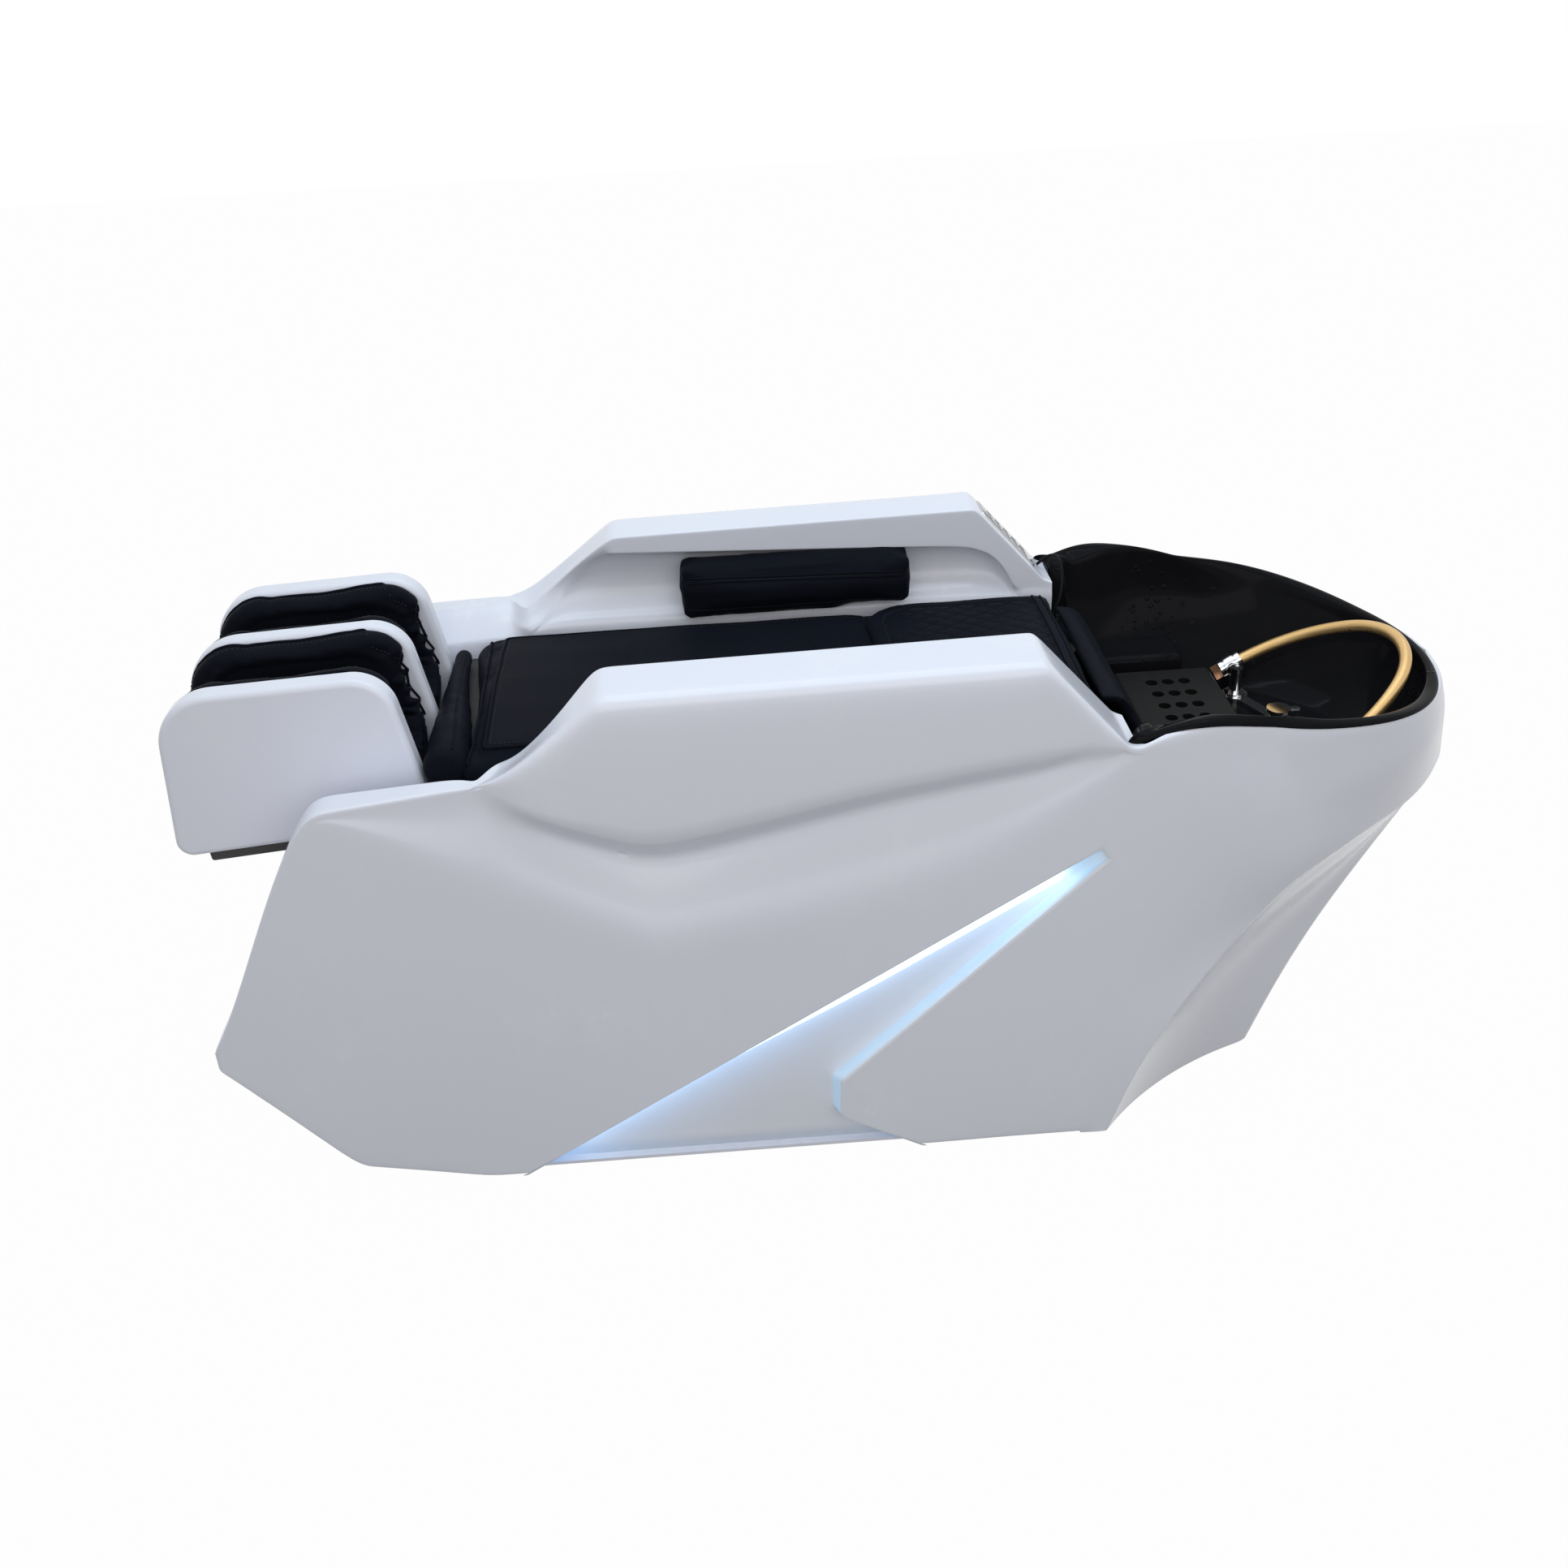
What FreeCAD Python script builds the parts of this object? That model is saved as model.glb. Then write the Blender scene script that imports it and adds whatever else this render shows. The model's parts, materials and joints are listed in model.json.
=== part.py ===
"""Head spa unit: a sculpted lounger with a wash basin at its head end.

+X points to the basin, +Y to the sitter's right, +Z up.  Millimetres.
The origin is on the floor under the middle of the unit.
"""
import FreeCAD
import Part
import math
import os
import re
from FreeCAD import Placement, Rotation, Vector

doc = FreeCAD.newDocument("head_spa_unit")
sheet = doc.addObject("Spreadsheet::Sheet", "Sizes")

SIZES = {
    # Whole unit
    "half_width": 355, "inner_half": 242, "wall": 8, "floor_gap": 8, "fit_gap": 0.3,
    "run_gap": 0.05,
    # Side view of the shells, from the toe to the tail
    "heel_x": -596, "sole_x": -794, "sole_z": 48, "toe_x": -978, "toe_z": 277,
    "ledge_front_x": -749, "ledge_front_z": 693, "ledge_rear_x": -536, "ledge_rear_z": 710,
    "arm_front_x": -345, "arm_front_drop": 10, "arm_rear_x": 264, "arm_rise": 148,
    "tip_x": 398, "tip_z": 700, "arm_round": 24,
    "rim_peak_x": 480, "rim_peak_z": 737, "rim_low_x": 911, "rim_low_z": 683,
    "rim_drop_x": 1100, "rim_drop_z": 494, "well_end_x": 408,
    # Cove along each side: the folded line, its vertex and how deep it goes
    "cove_front_x": -735, "fold_x": -294, "fold_z": 610, "fold_low_z": 455, "fold_depth": 48,
    "cove_ledge_low_z": 575, "cove_ledge_depth": 30, "cove_rear_low_z": 676,
    "cove_low_bow": 22,
    # Inner slope of the ledge in front of each arm
    "ledge_half": 304, "ledge_fall": 52, "ledge_end_x": -528,
    # Light slot in each side
    "slot_tip_x": 366, "slot_tip_z": 540, "slot_toe_x": -560, "slot_depth": 50, "slot_draft": 16,
    "slot_heel_x": -45, "slot_heel_low_z": 78, "slot_heel_high_z": 155, "slot_foot_x": 91,
    "light_thick": 8, "light_deep": 12, "light_inset": 26,
    # Scooped recess inside each arm
    "scoop_round": 56, "scoop_deep": 46, "scoop_z": 745, "scoop_end_x": 275,
    # Steel frame and deck
    "tube_wide": 30, "tube_high": 40, "rail_front_x": -540, "rail_rear_x": 380,
    "rail_top_z": 618, "base_rear_x": 470, "base_z": 20, "post_mid_x": -60,
    "foot_round": 22, "foot_pad": 8, "stem_round": 6,
    "deck_thick": 18, "deck_front_x": -600, "deck_rear_x": 408,
    "deck_slot_front_x": -255, "deck_slot_rear_x": 235, "deck_slot_half": 84,
    # Soft parts
    "seat_thick": 54, "seat_front_x": -551, "seat_rear_x": 392, "seat_half": 232, "seat_crown": 9,
    "roll_x": -588.5, "roll_round": 36, "roll_half": 222,
    "overlay_front_x": 62, "overlay_rear_x": 384, "overlay_thick": 16, "overlay_half": 222,
    "flap_half": 170, "flap_thick": 12, "flap_drop": 94, "flap_low_x": 466,
    "cuff_front_x": -236, "cuff_rear_x": 150, "cuff_inner_y": 200, "cuff_low_z": 703,
    "cuff_high_z": 790,
    # Basin and its fittings
    "lip_thick": 6, "bowl_floor_z": 512, "bowl_thick": 6, "neck_half": 268, "neck_drop": 50, "neck_long": 60,
    "pad_front_x": 481, "pad_rear_x": 646, "pad_half": 135, "pad_top_z": 585,
    "pad_hole_round": 10, "pad_hole_deep": 14, "pad_pitch_x": 27.5, "pad_pitch_y": 42,
    "drain_x": 790, "drain_round": 20, "drain_flange_round": 34, "drain_tube_z": 470,
    "drain_wall": 3.6,
    "arch_x": 702, "arch_z": 559, "arch_half": 184, "arch_rise": 236, "arch_tilt": 30,
    "arch_round": 7, "arch_crown_round": 150, "post_y": 150, "post_round": 10,
    "stub_round": 7, "sleeve_round": 13, "sleeve_long": 36, "nut_across": 18, "nut_long": 15,
    "knob_x": 745, "knob_y": 50, "knob_round": 20, "knob_high": 20, "bridge_thick": 8,
    "bridge_round": 22, "spindle_round": 5,
    # Control panel on the right arm's rear slope
    "panel_long": 140, "panel_wide": 66, "panel_thick": 6, "panel_y": 300, "panel_start": 22,
    "bezel_wide": 6,
    # Leg rest
    "leg_foot_x": -1005, "leg_foot_z": 546, "leg_toe_x": -986, "leg_toe_z": 808,
    "leg_knee_x": -655, "leg_knee_z": 823, "leg_back_x": -622, "leg_back_z": 640,
    "leg_heel_x": -640, "leg_heel_z": 577, "leg_half": 205, "leg_side_thick": 40,
    "leg_mid_half": 16, "leg_pad_drop": 12, "leg_plate_thick": 18, "leg_plate_half": 190,
    "leg_plate_front": 44, "trough_half": 52, "trough_z": 705,
    "pivot_x": -600, "pivot_z": 576, "pin_round": 8, "pin_half": 186, "hub_round": 16,
    "arm_plate": 10, "hinge_arm_y": 150, "bracket_y": 176,
    "crank_long": 55, "crank_angle": 230, "crank_pin_round": 6,
    # Leg rest actuator
    "yoke_play": 2, "yoke_plate": 6, "yoke_gap": 7, "rod_round": 10, "rod_rear_x": -420,
    "rod_stroke": 70.71, "motor_round": 22, "motor_front_x": -520, "motor_rear_x": -310,
    # Massage carriage
    "rod_y": 110, "guide_round": 8, "guide_z": 558, "guide_front_x": -276, "guide_rear_x": 280,
    "carriage_front_x": -262, "carriage_long": 120, "carriage_half": 132, "carriage_thick": 24,
    "roller_round": 28, "roller_wide": 30, "roller_y": 45, "roller_z": 600, "axle_round": 6,
    "fork_thick": 8, "rack_pitch": 12.5, "rack_deep": 8, "rack_wide": 14,
    # Water and electrics on the service tray
    "tray_front_x": -95, "tray_rear_x": 465, "tray_half": 205, "tray_thick": 5,
    "tank_x": 235, "tank_long": 220, "tank_half": 150, "tank_high": 210, "tank_wall": 5,
    "lid_thick": 8, "pump_round": 45, "pump_long": 120, "pump_x": 82, "pump_y": -110,
    "heater_round": 50, "heater_high": 190, "heater_x": 140, "heater_y": 110,
    "filter_round": 38, "filter_high": 160, "filter_x": 40, "filter_y": 130,
    "box_long": 150, "box_wide": 110, "box_high": 90, "box_x": -80, "box_y": -165,
    "hose_round": 9, "hose_run_z": 400, "drain_hose_round": 20, "drain_hose_wall": 3,
    "inlet_long": 44, "inlet_wide": 28, "inlet_high": 48,
    "valve_round": 10.5, "valve_long": 40, "valve_y": 50,
    # Front apron and the panel's lead
    "apron_x": -549, "apron_thick": 8, "apron_top_z": 496, "apron_bow": -14,
    "cord_round": 2.5, "gland_round": 5, "gland_long": 8,
}
for row, (name, value) in enumerate(SIZES.items(), 1):
    sheet.set(f"A{row}", name)
    sheet.set(f"B{row}", str(value))
    sheet.setAlias(f"B{row}", name)
doc.recompute()

# Plan of the hull at each height: where the side ends (crease), where the flank
# ends (corner), the tail on the centre line, and how far the flank bows out.
FLANK_LEVELS = (
    # z, crease x, y, corner x, y, tail x, flank bow
    (0, 388, 352, 682, 154, 690, -17),
    (147, 452, 350, 749, 125, 757, -19),
    (267, 513, 341, 874, 50, 880, -14),
    (330, 575, 320, 923, 40, 932, 4),
    (385, 629, 302, 962, 42, 982, 30),
)
BAND_LEVELS = FLANK_LEVELS[-1:] + (
    (480, 690, 309, 975, 62, 1005, 31),
    (600, 735, 321, 945, 140, 982, 15),
    (900, 735, 321, 945, 140, 982, 15),
)
HULL_START_X = 330
FAR_FRONT_X = -1100

# Plan of the bowl's inside at each height, in the same order after its front wall.
BOWL_LEVELS = (
    # z, front x, half width at the front, crease x, y, corner x, y, tail x
    (512, 445, 200, 640, 194, 800, 108, 845),
    (545, 437, 234, 655, 228, 845, 116, 893),
    (640, 428, 302, 705, 283, 905, 124, 942),
    (770, 426, 331, 728, 299, 926, 130, 960),
)
BOWL_SIDE_BOW = 12
BOWL_FLANK_BOW = 18

pieces = {}


def size(name):
    """A driving dimension, read from the sheet."""
    return float(sheet.get(name))


def on_sheet(text):
    """An expression in which each bare word is an alias of the sheet."""
    return re.sub(r"\b[a-z][a-z0-9_]*\b(?!\()", r"Sizes.\g<0>", str(text))


def bind(piece, **values):
    for key, text in values.items():
        piece.setExpression(key, on_sheet(text))
    return piece


def place(piece, x=0, y=0, z=0):
    for axis, text in zip("xyz", (x, y, z)):
        piece.setExpression(f"Placement.Base.{axis}", on_sheet(text))
    return piece


def keep(label, piece):
    """Name a finished sub-part."""
    piece.Label = label
    pieces[label] = piece
    return piece


def box(name, length, width, height, x, y, z):
    piece = doc.addObject("Part::Box", name)
    return place(bind(piece, Length=length, Width=width, Height=height), x, y, z)


def rod(name, radius, length, x, y, z, along="z"):
    """A cylinder that starts at a point and runs along an axis."""
    piece = doc.addObject("Part::Cylinder", name)
    turn = {"x": (Vector(0, 1, 0), 90), "y": (Vector(1, 0, 0), -90), "z": (Vector(0, 0, 1), 0)}
    piece.Placement = Placement(Vector(), Rotation(*turn[along]))
    return place(bind(piece, Radius=radius, Height=length), x, y, z)


def cut(name, base, tool):
    piece = doc.addObject("Part::Cut", name)
    piece.Base = base
    piece.Tool = tool
    return piece


def fuse(name, *shapes):
    piece = doc.addObject("Part::MultiFuse", name)
    piece.Shapes = list(shapes)
    return piece


def group(name, *shapes):
    """Separate solids that share one node."""
    piece = doc.addObject("Part::Compound", name)
    piece.Links = list(shapes)
    return piece


def feature(label, shape):
    piece = doc.addObject("Part::Feature", label)
    piece.Shape = shape
    return keep(label, piece)


def mirrored(shape):
    return shape.mirror(Vector(), Vector(0, 1, 0))


def side_point(x, z):
    return Vector(x, 0, z)


def rounded_wire(corners, to_point=side_point):
    """A closed wire through corners (u, v, radius), with tangent arcs at the rounded ones."""
    marks = []
    for index, (u, v, radius) in enumerate(corners):
        here = Vector(u, v, 0)
        back = (Vector(*corners[index - 1][:2], 0) - here).normalize()
        ahead = (Vector(*corners[(index + 1) % len(corners)][:2], 0) - here).normalize()
        half = back.getAngle(ahead) / 2
        reach = radius / math.tan(half)
        middle = (back + ahead).normalize() * (radius / math.sin(half) - radius)
        marks.append((here + back * reach, here + middle, here + ahead * reach, radius))
    edges = []
    for index, (start, middle, end, radius) in enumerate(marks):
        following = marks[(index + 1) % len(marks)][0]
        if radius:
            arc = Part.Arc(*(to_point(p.x, p.y) for p in (start, middle, end)))
            edges.append(arc.toShape())
        edges.append(Part.makeLine(to_point(end.x, end.y), to_point(following.x, following.y)))
    return Part.Wire(edges)


def slab(corners, low_y, high_y):
    """A side-view outline given thickness across the unit."""
    face = Part.Face(rounded_wire(corners))
    face.translate(Vector(0, low_y, 0))
    return face.extrude(Vector(0, high_y - low_y, 0))


def bowed(start, end, bow):
    """An arc between two points that bows to the right of its direction, or a line."""
    chord = end - start
    middle = (start + end) / 2 + Vector(chord.y, -chord.x, 0).normalize() * bow
    return Part.Arc(start, middle, end).toShape()


def pipe(points, radii, radius):
    """A round bar along straight runs joined by tangent arcs."""
    edges = []
    last = points[0]
    for before, here, after, turn in zip(points, points[1:], points[2:], radii):
        back = (before - here).normalize()
        ahead = (after - here).normalize()
        half = back.getAngle(ahead) / 2
        reach = turn / math.tan(half)
        middle = here + (back + ahead).normalize() * (turn / math.sin(half) - turn)
        edges.append(Part.makeLine(last, here + back * reach))
        edges.append(Part.Arc(here + back * reach, middle, here + ahead * reach).toShape())
        last = here + ahead * reach
    edges.append(Part.makeLine(last, points[-1]))
    path = Part.Wire(edges)
    circle = Part.makeCircle(radius, points[0], points[1] - points[0])
    return path.makePipeShell([Part.Wire([circle])], True, False)


# Sculpted shells


def arm_rear_z():
    """Height of the arm's top at its rear end."""
    return size("tip_z") + size("arm_rise")


def seat_top_z():
    """Height of the seat cushion's crown."""
    return size("rail_top_z") + size("deck_thick") + size("seat_thick")


def side_outline(floor_z, drop):
    """The unit seen from the side, closed below at floor_z, its rim lowered by drop."""
    slope = (size("tip_x") - size("arm_rear_x")) / size("arm_rise")
    return (
        (size("rim_drop_x"), floor_z, 0),
        (size("heel_x"), floor_z, 40),
        (size("sole_x"), size("sole_z"), 90),
        (size("toe_x"), size("toe_z"), 50),
        (size("ledge_front_x"), size("ledge_front_z"), 20),
        (size("ledge_rear_x"), size("ledge_rear_z"), 40),
        (size("arm_front_x"), arm_rear_z() - size("arm_front_drop"), size("arm_round")),
        (size("arm_rear_x"), arm_rear_z(), 16),
        (size("tip_x") + drop * slope, size("tip_z") - drop, 5),
        (size("rim_peak_x"), size("rim_peak_z") - drop, 80),
        (size("rim_low_x"), size("rim_low_z") - drop, 100),
        (size("rim_drop_x"), size("rim_drop_z") - drop, 0),
    )


def hull_section(level, inset):
    """Half of the hull's plan at one height, on the left of the centre line."""
    z, crease_x, crease_y, corner_x, corner_y, tail_x, flank_bow = level
    spread = size("half_width") - SIZES["half_width"]
    start = Vector(HULL_START_X, inset - size("half_width"), z)
    crease = Vector(crease_x - inset * 0.4, inset - crease_y - spread, z)
    corner = Vector(corner_x - inset * 0.8, min(inset * 0.6 - corner_y - spread, -2), z)
    tail = Vector(tail_x - inset, 0, z)
    chord = crease - start
    side_bow = chord.Length / 2 * math.tan(math.atan2(chord.y, chord.x) / 2)
    end = tail - corner
    tail_bow = end.Length / 2 * math.tan(math.atan2(end.x, end.y) / 2)
    front = Vector(FAR_FRONT_X, inset - size("half_width"), z)
    front_middle = Vector(FAR_FRONT_X, 0, z)
    edges = [
        Part.makeLine(front_middle, front),
        Part.makeLine(front, start),
        bowed(start, crease, side_bow),
        bowed(crease, corner, flank_bow),
        bowed(corner, tail, tail_bow),
        Part.makeLine(tail, front_middle),
    ]
    return Part.Wire(edges)


def hull_half(inset):
    """The left half of the hull: a flank under the crease and a band above it."""
    under = Part.makeLoft([hull_section(level, inset) for level in FLANK_LEVELS], True, False)
    band = Part.makeLoft([hull_section(level, inset) for level in BAND_LEVELS], True, False)
    return under.fuse(band)


def cove_cutter(extra):
    """The folded hollow under the arm, as a loft of triangles along the side."""
    outer = size("half_width")
    rise = (size("tip_z") + 8 - size("fold_z")) / (size("tip_x") - 6 - size("fold_x"))
    stations = [
        (size("cove_front_x"), size("ledge_front_z") + 6, size("ledge_front_z") + 22, 1),
        (size("ledge_rear_x"), size("cove_ledge_low_z"), size("ledge_rear_z") + 2,
         size("cove_ledge_depth")),
        (size("fold_x"), size("fold_low_z"), size("fold_z"), size("fold_depth")),
    ]
    span = size("tip_x") - 6 - size("fold_x")
    for share in (1 / 3, 2 / 3):
        low = size("fold_low_z") + (size("cove_rear_low_z") - size("fold_low_z")) * share
        stations.append((
            size("fold_x") + span * share,
            low - size("cove_low_bow") * 2 * share,
            size("fold_z") + rise * span * share,
            size("fold_depth") * (1 - share * 0.8),
        ))
    stations.append((size("tip_x") - 6, size("cove_rear_low_z"), size("tip_z") + 8, 1))
    wires = []
    for x, low, high, deep in stations:
        corners = (
            Vector(x, -outer - 20, low - extra - 20 * (high - low) / max(deep, 1) * 0.2),
            Vector(x, -outer + deep + extra, high + extra),
            Vector(x, -outer - 20, high + extra),
        )
        wires.append(Part.makePolygon(corners + corners[:1]))
    return Part.makeLoft(wires, True, True)


def slot_cutter(extra):
    """The blade-shaped light slot: square above, drafted below, open at the floor."""
    outer = size("half_width")
    draft = size("slot_draft")
    low = -30
    slope = size("slot_tip_z") / (size("slot_tip_x") - size("slot_toe_x"))
    tip = (size("slot_tip_x"), size("slot_tip_z"))
    toe = (size("slot_toe_x") + low / slope, low)
    heel_low = (size("slot_heel_x"), size("slot_heel_low_z"))
    heel_high = (size("slot_heel_x") + 3, size("slot_heel_high_z"))
    mouth = (tip, toe, (size("slot_foot_x"), low), (size("slot_foot_x"), 4), heel_low, heel_high)
    base = (
        (tip[0] - 2 * draft - 20, tip[1] - (2 * draft + 20) * slope),
        toe,
        (size("slot_foot_x") - draft, low),
        (size("slot_foot_x") - draft, 4),
        (heel_low[0] - draft, heel_low[1]),
        (heel_high[0] - draft, heel_high[1] + draft * 0.5),
    )
    grow = Vector(-extra * slope, 0, extra) * 1.1
    wires = []
    for y, outline in ((-outer - 1, mouth), (-outer + size("slot_depth") + extra, base)):
        points = [Vector(x, y, z) for x, z in outline]
        points = [p + grow if i < 2 else p + Vector(extra, 0, -extra) for i, p in enumerate(points)]
        wires.append(Part.makePolygon(points + points[:1]))
    return Part.makeLoft(wires, True, True)


def scoop_cutter(extra):
    """The groove inside an arm, with a rounded rear end."""
    edge_y = -size("inner_half") + 12
    middle_y = -size("inner_half") - size("scoop_deep") + size("scoop_round")
    radius = size("scoop_round") + extra
    front = Vector(size("ledge_front_x"), middle_y, size("scoop_z"))
    groove = Part.makeCylinder(radius, size("scoop_end_x") - front.x, front, Vector(1, 0, 0))
    end = Part.makeSphere(radius, Vector(size("scoop_end_x"), middle_y, size("scoop_z")))
    span = 4 * size("scoop_round")
    inside = Part.makeBox(size("tip_x") - size("ledge_front_x"), span, span,
                          Vector(size("ledge_front_x"), edge_y - span, size("scoop_z") - span / 2))
    return groove.fuse(end).common(inside)


def ledge_cutter(extra):
    """The slope that drops from the ledge's crown to the well."""
    run = size("ledge_half") - size("inner_half")
    fall = size("ledge_fall")
    into = Vector(0, -fall, -run).normalize() * extra
    climb = (size("ledge_rear_z") - size("ledge_front_z")) / (size("ledge_rear_x") - size("ledge_front_x"))
    end = size("ledge_end_x") + extra
    wires = []
    for x in (size("toe_x"), end):
        crown = size("ledge_rear_z") + climb * (x - size("ledge_rear_x"))
        corners = [
            Vector(x, -size("ledge_half") - run, crown + fall) + into,
            Vector(x, -size("inner_half") + run, crown - 2 * fall) + into,
            Vector(x, -size("inner_half") + run, crown + fall) + into,
        ]
        wires.append(Part.makePolygon(corners + corners[:1]))
    return Part.makeLoft(wires, True, True)


def left_shell():
    """One moulded side: outer skin, arm, scooped inner skin and half of the tail."""
    wall = size("wall")
    inner = size("inner_half")
    half = size("half_width")
    deep = 900
    body = slab(side_outline(size("floor_gap"), size("lip_thick")), -half - 10, 10)
    body = body.common(hull_half(0))
    hollow_face = Part.Face(rounded_wire(side_outline(-40, size("lip_thick"))))
    hollow_wire = hollow_face.OuterWire.makeOffset2D(-wall)
    hollow_face = Part.Face(hollow_wire)
    hollow_face.translate(Vector(0, -half, 0))
    hollow = hollow_face.extrude(Vector(0, half + 1, 0)).common(hull_half(wall))
    above_basin = Part.makeBox(
        size("rim_drop_x") - size("well_end_x"), half, arm_rear_z() - size("bowl_floor_z"),
        Vector(size("well_end_x"), -half, size("bowl_floor_z")))
    hollow = hollow.fuse(above_basin.common(hull_half(wall)))
    inner_skin = Part.makeBox(
        size("well_end_x") - FAR_FRONT_X, inner + wall, deep, Vector(FAR_FRONT_X, -inner - wall, -50))
    hollow = hollow.cut(inner_skin)
    for cutter in (cove_cutter, slot_cutter, scoop_cutter, ledge_cutter):
        hollow = hollow.cut(cutter(wall))
    well = Part.makeBox(
        size("well_end_x") - FAR_FRONT_X, inner, deep, Vector(FAR_FRONT_X, -inner, -50))
    body = body.cut(well)
    for cutter in (cove_cutter, slot_cutter, scoop_cutter, ledge_cutter):
        body = body.cut(cutter(0))
    return body.cut(hollow)


def slope_frame():
    """Placement on the arm's rear slope: x down the slope, z out of it."""
    top = Vector(size("arm_rear_x"), 0, arm_rear_z())
    down = Vector(size("tip_x"), 0, size("tip_z")) - top
    turn = math.degrees(math.atan2(-down.z, down.x))
    return Placement(top + Vector(0, size("panel_y"), 0), Rotation(Vector(0, 1, 0), turn))


def slope_block(start, long, wide, deep, high=0):
    """A block let into the rear slope."""
    block = Part.makeBox(long, wide, deep + high, Vector(start, -wide / 2, -deep))
    block.Placement = slope_frame()
    return block


def make_shells():
    left = left_shell()
    feature("left_side_shell", left)
    pocket = slope_block(
        size("panel_start"), size("panel_long"), size("panel_wide"), size("panel_thick"), 20)
    feature("right_side_shell", mirrored(left).cut(pocket))


def make_control_panel():
    gap = size("fit_gap")
    rim = size("bezel_wide")
    start = size("panel_start") + gap
    long = size("panel_long") - 2 * gap
    wide = size("panel_wide") - 2 * gap
    deep = size("panel_thick") - gap
    plate = slope_block(start, long, wide, deep)
    window = slope_block(start + rim, long - 2 * rim, wide - 2 * rim, deep / 2, 5)
    feature("control_panel_bezel", plate.cut(window))
    glass = slope_block(start + rim + gap, long - 2 * (rim + gap), wide - 2 * (rim + gap),
                        deep / 2 - gap)
    feature("control_panel_glass", glass)


def make_lights():
    slope = math.atan2(size("slot_tip_z"), size("slot_tip_x") - size("slot_toe_x"))
    long = math.hypot(size("slot_tip_z"), size("slot_tip_x") - size("slot_toe_x"))
    thick = size("light_thick")
    bar = Part.makeBox(long * 0.76, size("light_deep"), thick,
                       Vector(long * 0.1, 0, -thick - size("fit_gap")))
    bar.Placement = Placement(
        Vector(size("slot_toe_x"), -size("half_width") + size("light_inset"), 0),
        Rotation(Vector(0, 1, 0), -math.degrees(slope)))
    feature("left_light_bar", bar)
    feature("right_light_bar", mirrored(bar))


def make_apron():
    """The curved panel that closes the front under the seat."""
    half = size("inner_half") - size("fit_gap")
    left = Vector(size("apron_x"), -half, size("floor_gap"))
    right = Vector(size("apron_x"), half, size("floor_gap"))
    back = Vector(size("apron_thick"), 0, 0)
    edges = [
        Part.Arc(left, Vector(size("apron_x") + size("apron_bow"), 0, size("floor_gap")), right).toShape(),
        Part.makeLine(right, right + back),
        Part.Arc(right + back,
                 Vector(size("apron_x") + size("apron_bow"), 0, size("floor_gap")) + back,
                 left + back).toShape(),
        Part.makeLine(left + back, left),
    ]
    face = Part.Face(Part.Wire(edges))
    feature("front_apron", face.extrude(Vector(0, 0, size("apron_top_z") - size("floor_gap"))))


# Steel frame, deck and feet


def make_frame():
    outer = "(inner_half - fit_gap - tube_wide)"
    tops = "(rail_top_z - tube_high)"
    rails = []
    posts = []
    for side, y in (("left", f"-{outer} - tube_wide"), ("right", outer)):
        rails.append(box(f"{side}_top_rail", "rail_rear_x - rail_front_x", "tube_wide", "tube_high",
                         "rail_front_x", y, tops))
        rails.append(box(f"{side}_base_rail", "base_rear_x - rail_front_x", "tube_wide", "tube_high",
                         "rail_front_x", y, "base_z"))
        for name, x in (("front", "rail_front_x"), ("middle", "post_mid_x"),
                        ("rear", "rail_rear_x - tube_wide")):
            posts.append(box(f"{side}_{name}_post", "tube_wide", "tube_wide",
                             f"{tops} - base_z - tube_high", x, y, "base_z + tube_high"))
    keep("frame_rails", group("rails", *rails))
    bars = []
    span = f"2 * {outer}"
    for name, x, z in (
        ("front_base", "rail_front_x", "base_z"), ("middle_base", "post_mid_x", "base_z"),
        ("rear_base", "base_rear_x - tube_wide", "base_z"), ("front_top", "rail_front_x", tops),
        ("rear_top", "rail_rear_x - tube_wide", tops),
    ):
        bars.append(box(f"{name}_bar", "tube_wide", span, "tube_high", x, f"-{outer}", z))
    whole = "2 * (inner_half - fit_gap)"
    for name, x in (("guide_front", "guide_front_x - tube_wide"), ("guide_rear", "guide_rear_x")):
        bars.append(box(f"{name}_bar", "tube_wide", whole, "tube_high", x, "-(inner_half - fit_gap)",
                        f"{tops} - tube_high"))
    keep("frame_crossbars", group("crossbars", *bars))
    feet = []
    stems = []
    for side in (-1, 1):
        y = f"{side} * (inner_half - fit_gap - tube_wide / 2)"
        for name, x in (("front", "rail_front_x + 40"), ("rear", "base_rear_x - 40")):
            tag = f"{name}_{'left' if side < 0 else 'right'}"
            feet.append(rod(f"{tag}_foot", "foot_round", "foot_pad", x, y, 0))
            stems.append(rod(f"{tag}_stem", "stem_round", "base_z - foot_pad", x, y, "foot_pad"))
    keep("foot_pads", group("feet", *feet))
    keep("frame_posts", group("posts", *posts, *stems))
    deck = box("deck_plate", "deck_rear_x - deck_front_x", "2 * (inner_half - fit_gap)", "deck_thick",
               "deck_front_x", "-(inner_half - fit_gap)", "rail_top_z")
    opening = box("deck_slot", "deck_slot_rear_x - deck_slot_front_x", "2 * deck_slot_half",
                  "deck_thick + 2", "deck_slot_front_x", "-deck_slot_half", "rail_top_z - 1")
    keep("seat_deck", cut("deck", deck, opening))


# Soft parts


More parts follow.
